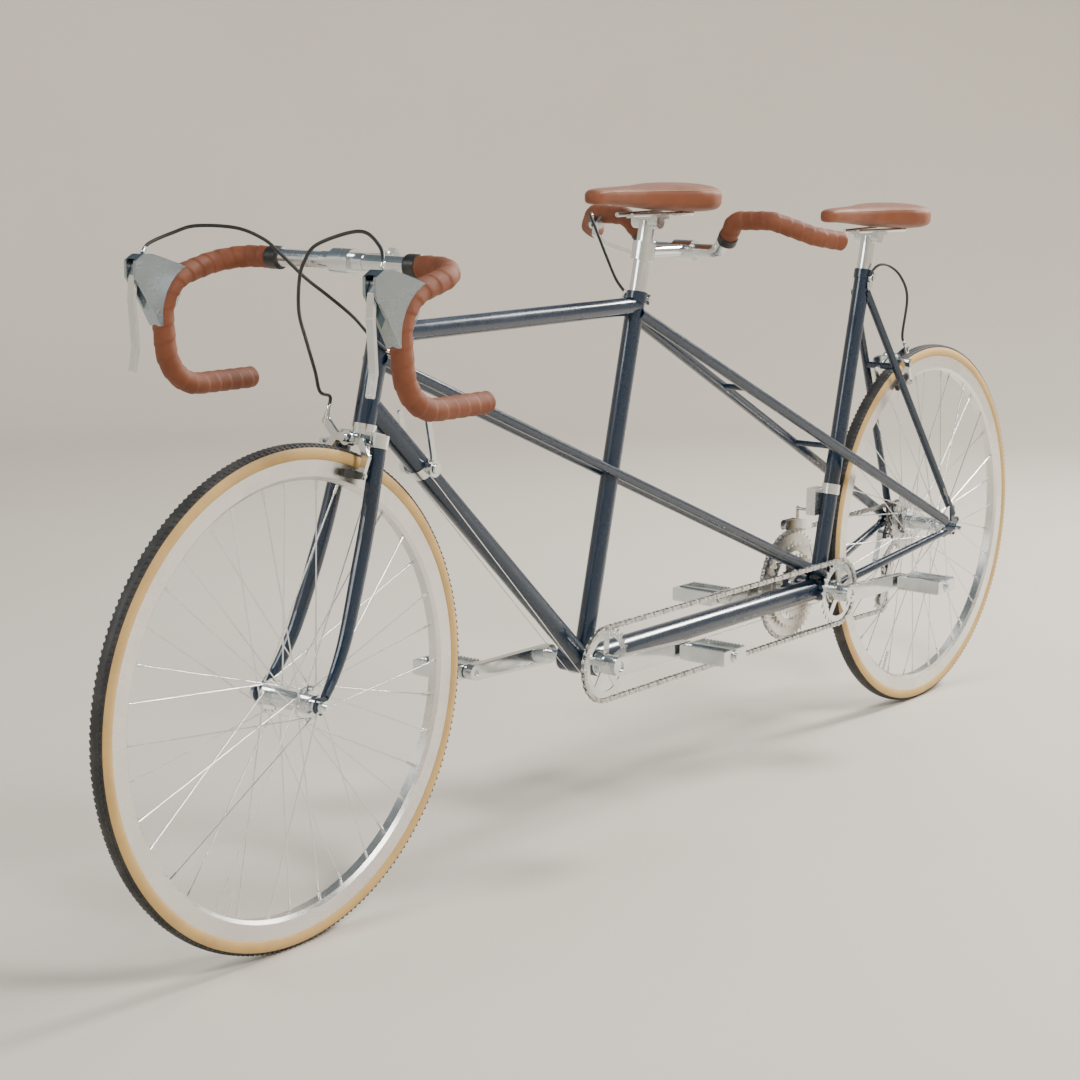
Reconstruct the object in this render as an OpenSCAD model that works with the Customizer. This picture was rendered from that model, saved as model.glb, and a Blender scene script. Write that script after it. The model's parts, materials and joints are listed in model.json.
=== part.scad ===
// Road tandem bicycle with a captain's seat in front and a stoker's seat behind.
// X points forwards, Y to the riders' left, Z up; the origin is on the ground, midway between the wheels.
// Both wheels stand on z = 0.

/* [Wheels] */
// Outer radius of the tyres
wheel_r = 340; // [330:1:345]
// Distance between the two axles
wheelbase = 1728; // [1700:1:1780]
// Radius of the tyre's round section
tyre_section_r = 13.5; // [12:0.5:15]
// Radial depth of the rims
rim_depth = 27; // [20:1:32]
// Width of the rims across the brake tracks
rim_w = 22; // [18:1:24]
// Spokes in each wheel, a multiple of four
spoke_count = 36; // [24:4:40]
// Radius of one spoke
spoke_r = 1.0; // [0.8:0.1:1.2]

/* [Frame] */
// Height of both crank axles above the ground
bracket_h = 274; // [265:1:290]
// Captain's crank axle, forwards of the origin
bracket_x = 216; // [200:1:230]
// Chain pitches between the two crank axles
boom_links = 55; // [54:1:56]
// Backward lean of both seat tubes, from upright
seat_lean = 13.2; // [12:0.1:15]
// Height of the tops of the seat tubes
seat_top_h = 832; // [800:1:860]
// Outer radius of the seat tubes
seat_tube_r = 14.3; // [14:0.1:16]
// Outer radius of the top and down tubes
main_tube_r = 15.9; // [14:0.1:17]
// Outer radius of the boom tube between the bottom brackets
boom_r = 19; // [17:0.5:20]
// Outer radius of the lower side tubes
lower_lateral_r = 7.5; // [6:0.5:8]
// Outer radius of the upper side tubes
upper_lateral_r = 9; // [7:0.5:10]
// Wall of the frame tubes
tube_wall = 1.0; // [0.8:0.1:1.6]
// Inner distance between the rear dropouts
rear_spacing = 132; // [126:1:136]

/* [Steering] */
// Lean of the head tube, from upright
head_lean = 14.6; // [14:0.1:16]
// Forward offset of the front axle from the steering axis
fork_rake = 56; // [50:1:60]
// Distance down the steering axis from the head reference point to the front axle
fork_length = 404; // [400:1:410]
// Length of the head tube
head_length = 152; // [140:1:160]
// Inner distance between the fork ends
front_spacing = 104; // [96:1:106]
// Half the width of the drop handlebar, centre to centre
bar_half_w = 206; // [190:1:220]
// Drop of the handlebar
bar_drop = 171; // [150:1:180]

/* [Drive] */
// Teeth of the two timing chainrings
timing_teeth = 28; // [26:2:30]
// Teeth of the large drive chainring
drive_teeth = 48; // [44:1:50]
// Length of the crank arms, centre to centre
crank_length = 170; // [160:1:175]
// Width of the pedal cages
pedal_w = 88; // [75:1:95]

/* [Seats] */
// Radius of the seatposts
post_r = 13.1; // [12.5:0.1:13.3]
// Height of the captain's saddle top
captain_saddle_h = 1000; // [980:1:1040]
// Height of the stoker's saddle top
stoker_saddle_h = 951; // [940:1:1000]
// Length of the saddles
saddle_length = 280; // [260:1:290]
// Width of the saddles
saddle_w = 156; // [140:1:170]

/* [Hidden] */

// Colours
frame_blue = "#0B3A5E";
bright = "#D8DCDC";
leather = "#9A5430";
tan = "#C9A260";
black = "#1A1A1A";

// Clearances
run_gap = 0.05;   // radial, shafts in bearings
seat_gap = 0.3;   // between solids that only rest on each other
bolt_r = 3;

// Chain
pitch = 12.7;
roller_r = 3.9;
notch_r = 4.6;
tooth_tip = 2.2;
tooth_t = 1.9;
plate_t = 1;
plate_w = 8;
chain_inner = 4.4;

// Places worked out from the sizes above
front_axle_x = wheelbase / 2;
rear_axle_x = -wheelbase / 2;
stoker_x = bracket_x - boom_links * pitch;
seat_slope = tan(seat_lean);
head_ref = [front_axle_x - fork_rake * cos(head_lean) - fork_length * sin(head_lean), 0,
    wheel_r - fork_rake * sin(head_lean) + fork_length * cos(head_lean)];
head_r = 16;
head_bottom = -27;
head_top = head_bottom + head_length;
steerer_r = 12.7;
shell_r = 21;
shell_half = 34;
spindle_r = 8.5;
stay_r = 8.5;
seat_stay_r = 7;
dropout_t = 4;
dropout_y = rear_spacing / 2 + dropout_t / 2;

// Points on the centre lines of the frame
function on_head(t) = head_ref + t * [-sin(head_lean), 0, cos(head_lean)];
function captain_tube(z) = [bracket_x - (z - bracket_h) * seat_slope, 0, z];
function stoker_tube(z) = [stoker_x - (z - bracket_h) * seat_slope, 0, z];
captain_bracket = [bracket_x, 0, bracket_h];
stoker_bracket = [stoker_x, 0, bracket_h];
rear_end = [rear_axle_x, 0, wheel_r];
bridge_z = 655;

// Functions
function flip(v, side) = [v[0], v[1] * side, v[2]];
function unit(v) = v / norm(v);
function mix(a, b, t) = a + (b - a) * t;

// The points of a path with its corners rounded to radius r
function corner(a, b, c, r, n = 6) =
    let (u = unit(a - b), v = unit(c - b), half = acos(max(-1, min(1, u * v))) / 2)
    let (back = r / tan(half), w = unit(u + v), m = b + w * (r / sin(half)))
    let (p = b + u * back - m, q = b + v * back - m, span = 180 - 2 * half)
    [for (i = [0:n]) m + (p * sin(span * (1 - i / n)) + q * sin(span * i / n)) / sin(span)];
function rounded(pts, radii, n = 6) = let (last = len(pts) - 1)
    [pts[0], for (i = [1:last - 1]) each corner(pts[i - 1], pts[i], pts[i + 1], radii[i - 1], n), pts[last]];

// A smooth curve through the points of a cable's route
function spline_at(a, b, c, d, t) = 0.5 * ((2 * b) + (c - a) * t + (2 * a - 5 * b + 4 * c - d) * t * t
    + (3 * b - a - 3 * c + d) * t * t * t);
function spline(pts, n = 4) = let (last = len(pts) - 1)
    [for (i = [0:last - 1]) for (k = [0:n - 1])
        spline_at(pts[max(i - 1, 0)], pts[i], pts[i + 1], pts[min(i + 2, last)], k / n), pts[last]];

// A tube swept along a path, with one radius for each ring
function ring_frame(dir, up) = let (x = unit(cross(up, dir))) [x, cross(dir, x)];
function heading3(path, i) = unit(path[min(i + 1, len(path) - 1)] - path[max(i - 1, 0)]);
function carried(path, up0, i) = i == 0 ? up0
    : let (prev = carried(path, up0, i - 1), d = heading3(path, i)) unit(prev - d * (prev * d));
module sweep(path, radii, sides = 16, up0 = [0.1, 0.02, 1]) {
    rings = len(path);
    points = [for (i = [0:rings - 1])
        let (f = ring_frame(heading3(path, i), carried(path, up0, i)), r = is_list(radii) ? radii[i] : radii)
        for (k = [0:sides - 1])
            path[i] + r * (f[0] * cos(k * 360 / sides) + f[1] * sin(k * 360 / sides))];
    walls = [for (i = [0:rings - 2]) for (k = [0:sides - 1]) let (j = (k + 1) % sides)
        [i * sides + k, (i + 1) * sides + k, (i + 1) * sides + j, i * sides + j]];
    start = [for (k = [0:sides - 1]) k];
    end = [for (k = [sides - 1:-1:0]) (rings - 1) * sides + k];
    polyhedron(points, [start, each walls, end], convexity = 6);
}

// Places a child, drawn along Z, between two points
module along(a, b) {
    d = b - a;
    translate(a) rotate([0, acos(d[2] / norm(d)), atan2(d[1], d[0])]) children();
}
module rod(a, b, r, r2 = -1) {
    along(a, b) cylinder(r1 = r, r2 = r2 < 0 ? r : r2, h = norm(b - a), $fn = 48);
}
module pipe(a, b, r, wall = tube_wall) {
    difference() {
        rod(a, b, r);
        rod(a - unit(b - a), b + unit(b - a), r - wall);
    }
}
module across(x, z, y0, y1, r) {
    translate([x, y1, z]) rotate([90, 0, 0]) cylinder(r = r, h = y1 - y0, $fn = 48);
}
module both_sides() {
    children();
    mirror([0, 1, 0]) children();
}
module steering() {
    translate(head_ref) rotate([0, -head_lean, 0]) children();
}
// A flat outline drawn in X and Z, from y0 to y1
module plate_y(y0, y1) {
    translate([0, y1, 0]) rotate([90, 0, 0]) linear_extrude(y1 - y0) children();
}
// A flat strip with round ends through a row of points
module strip(pts, w) {
    for (i = [0:len(pts) - 1]) translate(pts[i]) circle(d = w, $fn = 32);
    for (i = [0:len(pts) - 2]) let (d = pts[i + 1] - pts[i])
        translate(pts[i]) rotate(atan2(d[1], d[0])) translate([0, -0.48 * w]) square([norm(d), 0.96 * w]);
}

// Frame tubes

head_low = on_head(head_bottom);
head_high = on_head(head_top);
down_meet = head_ref;
top_meet = [on_head(95)[0], 0, on_head(95)[2]];
top_rear = captain_tube(seat_top_h - 21);
module head_solid(r) { rod(head_low, head_high, r); }
module captain_solid(r) { rod(captain_bracket, captain_tube(seat_top_h), r); }
module stoker_solid(r) { rod(stoker_bracket, stoker_tube(seat_top_h), r); }
module shell_solid(x, r) { across(x, bracket_h, -shell_half, shell_half, r); }

cup_bore_r = 14.2;
module head_tube() color(frame_blue) difference() {
    head_solid(head_r);
    rod(on_head(head_bottom - 1), on_head(head_top + 1), cup_bore_r);
}
module top_tube() color(frame_blue) difference() {
    pipe(top_meet, top_rear, main_tube_r - 1.9);
    head_solid(head_r);
    collar(captain_tube(seat_top_h));
    captain_solid(seat_tube_r);
}
module down_tube() color(frame_blue) difference() {
    pipe(down_meet, captain_bracket, main_tube_r);
    head_solid(head_r);
    rod(on_head(head_bottom - 12), on_head(head_bottom + 0.01), head_r + 2.3);
    rod(top_meet, top_rear, main_tube_r - 1.9);
    shell_solid(bracket_x, shell_r);
    captain_solid(seat_tube_r);
}

// Seat tubes, each with a split collar and its pinch bolt at the top
collar_h = 16;
module collar(top) {
    translate(top) rotate([0, -seat_lean, 0]) translate([0, 0, -collar_h])
        cylinder(r = seat_tube_r + 2, h = collar_h, $fn = 48);
}
ear_x = -seat_tube_r - 6;
module seat_tube(foot, top) {
    difference() {
        union() {
            rod(foot, top, seat_tube_r);
            collar(top);
            translate(top) rotate([0, -seat_lean, 0]) translate([ear_x - 5, -8, -collar_h])
                cube([12, 16, collar_h]);
        }
        rod(foot, top + unit(top - foot), post_r + run_gap);
        translate(top) rotate([0, -seat_lean, 0]) translate([ear_x - 6, -0.8, -collar_h - 12])
            cube([20, 1.6, 40]);
        translate(top) rotate([0, -seat_lean, 0]) across(ear_x, -collar_h / 2, -20, 20, bolt_r);
        shell_solid(foot[0], shell_r);
    }
}
module pinch_bolt(top) {
    translate(top) rotate([0, -seat_lean, 0]) {
        across(ear_x, -collar_h / 2, -9, 11, bolt_r - 0.05);
        across(ear_x, -collar_h / 2, 7.4, 12.5, bolt_r + 2);
        across(ear_x, -collar_h / 2, -12, -7.4, bolt_r + 2);
    }
}
module captain_seat_tube() {
    color(frame_blue) seat_tube(captain_bracket, captain_tube(seat_top_h));
    color(bright) pinch_bolt(captain_tube(seat_top_h));
}
module stoker_seat_tube() {
    color(frame_blue) seat_tube(stoker_bracket, stoker_tube(seat_top_h));
    color(bright) pinch_bolt(stoker_tube(seat_top_h));
}
module boom_tube() color(frame_blue) difference() {
    pipe(captain_bracket, stoker_bracket, boom_r);
    shell_solid(bracket_x, shell_r);
    shell_solid(stoker_x, shell_r);
    captain_solid(seat_tube_r);
    stoker_solid(seat_tube_r);
}

// Twin side tubes from the head tube past the captain's seat tube to the rear bottom bracket
lower_front = [on_head(62)[0], 15, on_head(62)[2]];
lower_rear = [stoker_tube(300)[0], 15, 300];
module lower_laterals() color(frame_blue) both_sides() difference() {
    pipe(lower_front, lower_rear, lower_lateral_r);
    head_solid(head_r);
    captain_solid(seat_tube_r);
    stoker_solid(seat_tube_r);
    shell_solid(stoker_x, shell_r);
    rod(stoker_bracket, captain_bracket, boom_r);
}

// The room that the plate, hub, cogs and nuts of the rear axle need, cut from each stay that ends near it
module rear_end_room() {
    across(rear_axle_x, wheel_r, 0, dropout_y, 44);
    across(rear_axle_x, wheel_r, dropout_y - 6, dropout_y + 50, 17);
}
module dropout_room() {
    rear_end_room();
    translate([rear_axle_x - 50, dropout_y - dropout_t / 2, wheel_r - 60]) cube([100, dropout_t, 140]);
}

// Twin side tubes from the captain's seat cluster past the stoker's seat tube to the rear ends
upper_front = [captain_tube(800)[0], 10, 800];
upper_rear = [rear_axle_x + 32, dropout_y, wheel_r + 18];
function on_upper(t) = mix(upper_front, upper_rear, t);
bridge_places = [0.32, 0.6];
module upper_laterals() color(frame_blue) {
    both_sides() difference() {
        pipe(upper_front, upper_rear, upper_lateral_r);
        captain_solid(seat_tube_r);
        mirror([0, 1, 0]) translate([upper_front[0] - 60, 0, upper_front[2] - 60]) cube([90, 90, 90]);
        stoker_solid(seat_tube_r);
        dropout_room();
    }
    for (t = bridge_places) difference() {
        rod(flip(on_upper(t), -1), on_upper(t), 5);
        both_sides() rod(upper_front, upper_rear, upper_lateral_r);
    }
}

// Rear ends: slotted plates between the stays, with an eyelet behind and a hanger on the right
slot_r = 5;
eyelet_r = 2.5;
hanger = [rear_axle_x + 8, wheel_r - 30];
module dropout_outline(has_hanger) {
    difference() {
        union() {
            translate([rear_axle_x, wheel_r]) circle(r = 15, $fn = 64);
            strip([[rear_axle_x, wheel_r], [rear_axle_x + 34, wheel_r - 5]], 18);
            strip([[rear_axle_x, wheel_r], [rear_axle_x + 42, wheel_r + 22]], 14);
            strip([[rear_axle_x, wheel_r], [rear_axle_x + 4, wheel_r + 36]], 14);
            strip([[rear_axle_x, wheel_r + 4], [rear_axle_x - 17, wheel_r + 13]], 11);
            if (has_hanger) strip([[rear_axle_x + 2, wheel_r - 4], hanger], 16);
        }
        strip([[rear_axle_x, wheel_r], [rear_axle_x + 4, wheel_r - 40]], 2 * slot_r);
        translate([rear_axle_x - 17, wheel_r + 13]) circle(r = eyelet_r, $fn = 32);
        if (has_hanger) translate(hanger) circle(r = 5, $fn = 32);
    }
}
stay_front = [stoker_x, 20, bracket_h];
stay_rear = [rear_axle_x + 30, dropout_y, wheel_r - 4];
module chain_stays() color(frame_blue) {
    both_sides() difference() {
        rod(stay_front, stay_rear, stay_r, stay_r - 2);
        shell_solid(stoker_x, shell_r);
        stoker_solid(seat_tube_r);
        rear_end_room();
    }
    plate_y(dropout_y - dropout_t / 2, dropout_y + dropout_t / 2) dropout_outline(false);
    plate_y(-dropout_y - dropout_t / 2, -dropout_y + dropout_t / 2) dropout_outline(true);
    difference() {
        t = 0.08;
        rod(flip(mix(stay_front, stay_rear, t), -1), mix(stay_front, stay_rear, t), 5);
        both_sides() rod(stay_front, stay_rear, stay_r, stay_r - 2);
    }
}

// Seat stays with the brake bridge and the rear brake's pivot bolt
seat_stay_top = stoker_tube(795) + [0, 12, 0];
seat_stay_low = [rear_axle_x + 3, dropout_y, wheel_r + 26];
function on_stay(z) = mix(seat_stay_top, seat_stay_low, (795 - z) / (795 - seat_stay_low[2]));
bridge = [on_stay(bridge_z)[0], 0, bridge_z];
stay_lean = 30;
module rear_brake_place() { translate(bridge) rotate([0, -stay_lean, 180]) children(); }
module seat_stays() {
    color(frame_blue) both_sides() difference() {
        rod(seat_stay_top, seat_stay_low, seat_stay_r);
        stoker_solid(seat_tube_r + 2);
        dropout_room();
        mirror([0, 1, 0]) translate(seat_stay_top - [50, 0, 50]) cube([100, 60, 100]);
        rod(flip(upper_rear, 1), upper_front, upper_lateral_r);
    }
    color(frame_blue) difference() {
        rod([bridge[0], -on_stay(bridge_z)[1], bridge_z], [bridge[0], on_stay(bridge_z)[1], bridge_z], 6);
        both_sides() rod(seat_stay_top, seat_stay_low, seat_stay_r);
        rear_brake_place() brake_bolt_hole();
    }
    color(bright) rear_brake_place() brake_bolt(-8);
}

// Bottom bracket shells, their cups and the headset's cups
module bracket_shells() color(frame_blue) for (x = [bracket_x, stoker_x]) difference() {
    shell_solid(x, shell_r);
    shell_solid(x, shell_r - 3.5);
    across(x, bracket_h, -shell_half - 1, shell_half + 1, shell_r - 3.5);
}
module bracket_cup(x) {
    difference() {
        union() {
            across(x, bracket_h, shell_half - 10, shell_half + 3, shell_r - 3.5);
            across(x, bracket_h, shell_half, shell_half + 3, shell_r - 1);
        }
        across(x, bracket_h, shell_half - 12, shell_half + 5, spindle_r + run_gap);
    }
}
module headset_cup(z0, z1) {
    difference() {
        union() {
            translate([0, 0, z0]) cylinder(r = cup_bore_r, h = z1 - z0, $fn = 48);
            translate([0, 0, z0 > 0 ? head_top : head_bottom - 6]) cylinder(r = head_r + 2, h = 6, $fn = 64);
        }
        translate([0, 0, z0 - 10]) cylinder(r = steerer_r + run_gap, h = z1 - z0 + 20, $fn = 48);
    }
}
module bearing_cups() color(bright) {
    for (x = [bracket_x, stoker_x]) both_sides() bracket_cup(x);
    steering() {
        headset_cup(head_top - 10, head_top + 6);
        headset_cup(head_bottom - 6, head_bottom + 10);
    }
}

// Brake pivot bolts, drawn along X with the caliper in front
bolt_front = 38;
module brake_bolt_hole() { translate([-30, 0, 0]) rotate([0, 90, 0]) cylinder(r = bolt_r + 0.1, h = 60, $fn = 32); }
module brake_bolt(back) {
    rotate([0, 90, 0]) translate([0, 0, back]) cylinder(r = bolt_r, h = bolt_front - back, $fn = 32);
    rotate([0, 90, 0]) translate([0, 0, bolt_front - 3]) cylinder(r = bolt_r + 3, h = 6, $fn = 32);
    rotate([0, 90, 0]) translate([0, 0, back - 4]) cylinder(r = bolt_r + 3, h = 4, $fn = 6);
}

// Steering parts, drawn in the steering axis's own frame

crown_top = head_bottom - 10;
crown_low = crown_top - 20;
blade_y = 31;
fork_end = [fork_rake, front_spacing / 2 + 2, -fork_length];
blade_path = spline([[0, blade_y, crown_low + 2], [2, 36, -150], [8, 40, -220], [19, 46, -310],
    [34, 50, -362], fork_end + [-7, 0, 13]], 4);
function blade_radius(i) = i < 9 ? 11 : 11 - 5 * (i - 8) / (len(blade_path) - 9);
headset_top = head_top + 6;
quill_r = 11.1;
module fork_crown() steering() {
    color(bright) difference() {
        union() {
            translate([0, 0, crown_top - 4]) cylinder(r = steerer_r + 4, h = 7.7, $fn = 64);
            for (s = [-1, 1]) translate([0, s * blade_y, crown_low]) cylinder(r = 13, h = 18, $fn = 48);
            translate([-11, -blade_y, crown_low + 4]) cube([22, 2 * blade_y, crown_top - crown_low - 4]);
            translate([0, 0, crown_low + 4])
                cylinder(r = steerer_r, h = headset_top + 20 - crown_low - 4, $fn = 48);
            translate([0, 0, headset_top + 0.3]) cylinder(r = head_r + 1, h = 6, $fn = 6);
            translate([0, 0, headset_top + 7]) cylinder(r = head_r + 1, h = 8, $fn = 6);
        }
        translate([0, 0, crown_top + 2]) cylinder(r = quill_r, h = 400, $fn = 48);
        translate([0, 0, brake_z]) brake_bolt_hole();
        for (s = [-1, 1]) translate([0, s * blade_y, crown_low - 1]) cylinder(r = 11, h = 4, $fn = 48);
    }
    color(bright) translate([0, 0, brake_z]) brake_bolt(-16);
}
brake_z = -50;
module fork_end_plate() {
    plate_y(fork_end[1] - 2, fork_end[1] + 2) difference() {
        union() {
            translate([fork_rake, -fork_length]) circle(r = 12, $fn = 48);
            strip([[fork_rake, -fork_length], [fork_rake - 12, 22 - fork_length]], 12);
        }
        strip([[fork_rake, -fork_length], [fork_rake + 6, -fork_length - 30]], 9.4);
    }
}
module fork_blades() steering() color(frame_blue) both_sides() {
    difference() {
        sweep(blade_path, [for (i = [0:len(blade_path) - 1]) blade_radius(i)], 20, [1, 0, 0]);
        plate_y(fork_end[1] - 2, fork_end[1] + 2)
            strip([[fork_rake, -fork_length], [fork_rake - 12, 22 - fork_length]], 12.1);
    }
    fork_end_plate();
}

// Stem and handlebar
bar_reach = 90;
bar_z = 175;
quill_top = 208;
ext_z = 198;
clamp_r = 12.75;
module stem() steering() color(bright) {
    difference() {
        union() {
            translate([0, 0, 40]) cylinder(r = quill_r - 0.02, h = ext_z + 8 - 40, $fn = 48);
            along([0, 0, ext_z - 4], [bar_reach, 0, bar_z])
                cylinder(r = 11.5, h = norm([bar_reach, ext_z - 4 - bar_z]), $fn = 48);
            across(bar_reach, bar_z, -17, 17, clamp_r + 5);
        }
        across(bar_reach, bar_z, -30, 30, clamp_r);
        translate([0, 0, 30]) cylinder(r = 4, h = 200, $fn = 32);
    }
    translate([0, 0, 36]) cylinder(r = 3.9, h = quill_top - 36, $fn = 32);
    translate([0, 0, ext_z + 8]) cylinder(r = 7, h = 6, $fn = 6);
    translate([0, 0, 26]) cylinder(r1 = quill_r - 0.5, r2 = quill_r - 3, h = 14, $fn = 48);
}
// The bar's own frame is level, with its origin at the middle of the bar
bar_centre = head_ref + [bar_reach * cos(head_lean) - bar_z * sin(head_lean), 0,
    bar_reach * sin(head_lean) + bar_z * cos(head_lean)];
bar_r = 11.9;
bar_path = rounded([[0, 38, 0], [5, bar_half_w, 0], [134, bar_half_w + 2, -32], [120, bar_half_w + 3, -bar_drop],
    [-36, bar_half_w + 4, -bar_drop]], [52, 58, 62], 7);
tape_start = 132;
tape_path = concat([[5 * (tape_start - 38) / (bar_half_w - 38), tape_start, 0]],
    [for (p = bar_path) if (p[1] > tape_start + 3) p]);
tape_r = 15.3;
module handlebar() color(bright) translate(bar_centre) {
    rotate([90, 0, 0]) translate([0, 0, -38]) cylinder(r = clamp_r - 0.02, h = 76, $fn = 48);
    both_sides() sweep(bar_path, bar_r, 20, [0, 0, 1]);
}
module bar_tape() translate(bar_centre) both_sides() {
    color(leather) difference() {
        sweep(tape_path, tape_r, 20, [0, 0, 1]);
        sweep(concat([bar_path[0]], [for (i = [1:len(bar_path) - 2]) bar_path[i]],
            [bar_path[len(bar_path) - 1] - [10, 0, 0]]), bar_r + 0.15, 20, [0, 0, 1]);

    }
    color(black) translate([tape_path[0][0] - 0.3, tape_start - 10, 0]) rotate([90, 0, 0]) difference() {
        translate([0, 0, -9]) cylinder(r = tape_r + 0.5, h = 18, $fn = 48);
        translate([0, 0, -10]) cylinder(r = bar_r + 0.4, h = 20, $fn = 48);
    }
}

// Brake levers for the drop handlebar, drawn on the bar's own level frame
lever_y = bar_half_w + 2;
lever_pivot = [174, -8];
hood_outline = [[88, -14], [120, -3], [156, 8], [172, 8], [186, 0], [186, -22], [166, -50], [143, -88], [128, -84]];
pivot_r = 2.5;
module lever_hoods() translate(bar_centre) both_sides() {
    color(bright) difference() {
        plate_y(lever_y - 11, lever_y + 11) polygon(hood_outline);
        translate([157, lever_y - 6.5, -90]) cube([60, 13, 92]);
        sweep(tape_path, tape_r + seat_gap, 20, [0, 0, 1]);
    }
    color(bright) across(lever_pivot[0], lever_pivot[1], lever_y - 6.5, lever_y + 6.5, pivot_r);
}
module lever_blade(pts, pivot, y) {
    plate_y(y - 5.5, y + 5.5) difference() {
        union() {
            strip(pts, 6);
            translate(pivot) circle(r = 5, $fn = 32);
        }
        translate(pivot) circle(r = pivot_r + run_gap, $fn = 48);
    }
}
blade_pts = [lever_pivot + [1, 0], [181, -20], [184, -50], [181, -85], [179, -115], [185, -143]];
module left_brake_lever() color(bright) translate(bar_centre) lever_blade(blade_pts, lever_pivot, lever_y);
module right_brake_lever() color(bright) translate(bar_centre) lever_blade(blade_pts, lever_pivot, -lever_y);

// Side-pull calipers, drawn with the wheel below, the pivot bolt along X and both cable ends on the right
arm_t = 6;
arm_w = 11;
back_arm_x = 20;
front_arm_x = back_arm_x + arm_t + 0.6;
pad_x = back_arm_x + arm_t + 0.3;
pad_gap = 2.9;
pad_l = 42;
ear_y = -42;
barrel_z = 20;
anchor_z = -8;
cable_x = front_arm_x + arm_t / 2;
module plate_x(x0, x1) { translate([x0, 0, 0]) rotate([90, 0, 90]) linear_extrude(x1 - x0) children(); }
module caliper_plate(x0, pts) {
    color(bright) plate_x(x0, x0 + arm_t) difference() {
        union() {
            strip(pts, arm_w);
            circle(r = 10, $fn = 48);
        }
        circle(r = bolt_r + run_gap, $fn = 48);
    }
}
module brake_pad(side, drop, x0) {
    face = rim_w / 2 + pad_gap;
    color(black) plate_y(side > 0 ? face : -face - 7, side > 0 ? face + 7 : -face)
        translate([pad_x - pad_l / 2, -drop - 5]) square([pad_l, 10]);
    color(bright) plate_y(side > 0 ? face + 5 : -face - 24, side > 0 ? face + 24 : -face - 5)
        translate([x0 + 0.5, -drop - 2.5]) square(5);
}
// The arm with the left pad, which carries the wire's anchor
module anchor_arm(drop) {
    caliper_plate(back_arm_x, [[30, -drop], [34, -22], [21, -3], [0, 0], [-22, -4], [ear_y, anchor_z]]);
    brake_pad(1, drop, back_arm_x);
    color(bright) translate([back_arm_x + 1, ear_y, anchor_z]) rotate([0, 90, 0])
        cylinder(r = 4, h = cable_x - back_arm_x + 3, $fn = 6);
}
// The arm with the right pad, which carries the barrel that the housing ends in
module barrel_arm(drop) {
    difference() {
        union() {
            caliper_plate(front_arm_x, [[-30, -drop], [-34, -22], [-19, 1], [0, 0], [-19, 1], [ear_y, barrel_z]]);
            color(bright) translate([cable_x, ear_y, barrel_z - 8]) cylinder(r = 3.8, h = 20, $fn = 32);
        }
        translate([cable_x, ear_y, 0]) cylinder(r = 1.3, h = 60, $fn = 24);
    }
    brake_pad(-1, drop, front_arm_x);
}
track_r = wheel_r - 2 * tyre_section_r + 6 - rim_depth / 2 + 3;
front_drop = brake_z + fork_length - sqrt(pow(track_r, 2) - pow(fork_rake - pad_x, 2));
rear_drop = norm(bridge - rear_end) - sqrt(pow(track_r, 2) - pow(pad_x, 2));
module front_brake_place() { steering() translate([0, 0, brake_z]) children(); }
module front_arm_left() front_brake_place() anchor_arm(front_drop);
module front_arm_right() front_brake_place() barrel_arm(front_drop);
module rear_arm_left() rear_brake_place() anchor_arm(rear_drop);
module rear_arm_right() rear_brake_place() barrel_arm(rear_drop);

// Wheels, drawn at the origin with the axle along Y

rim_outer = wheel_r - 2 * tyre_section_r + 6;
rim_inner = rim_outer - rim_depth;
module spin_shape() { rotate([90, 0, 0]) rotate_extrude($fn = 96) children(); }
module tyre() color(tan) spin_shape() difference() {
    translate([wheel_r - tyre_section_r, 0]) circle(r = tyre_section_r, $fn = 48);
    translate([wheel_r - tyre_section_r, 0]) circle(r = tyre_section_r - 2, $fn = 48);
    translate([0, -30]) square([rim_outer, 60]);
}
module rim() color(bright) spin_shape() difference() {
    w = rim_w / 2;
    polygon([[rim_inner, 4 - w], [rim_inner, w - 4], [rim_inner + 5, w], [rim_outer, w], [rim_outer, -w],
        [rim_inner + 5, -w]]);
    translate([rim_outer - 6, 2 - w]) square([10, rim_w - 4]);
    translate([rim_inner + 2.5, 5 - w]) square([rim_depth - 11, rim_w - 10]);
}
flange_r = 24;
hole_circle = 20;
flange_t = 2.5;
elbow = spoke_r + 0.9;
module hub(left, right, half, bore) color(bright) difference() {
    union() {
        across(0, 0, -right, left, 13);
        across(0, 0, -half, half, 13);
        across(0, 0, left - flange_t, left, flange_r);
        across(0, 0, -right, flange_t - right, flange_r);
    }
    across(0, 0, -half - 1, half + 1, bore);
    across(0, 0, 12 - half, half - 12, bore + 3);
    for (k = [0:spoke_count / 2 - 1]) rotate([0, k * 720 / spoke_count, 0]) {
        across(hole_circle, 0, left - flange_t - 1, left + 1, spoke_r + 0.2);
        rotate([0, 360 / spoke_count, 0]) across(hole_circle, 0, -right - 1, flange_t - right + 1, spoke_r + 0.2);
    }
}
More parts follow.
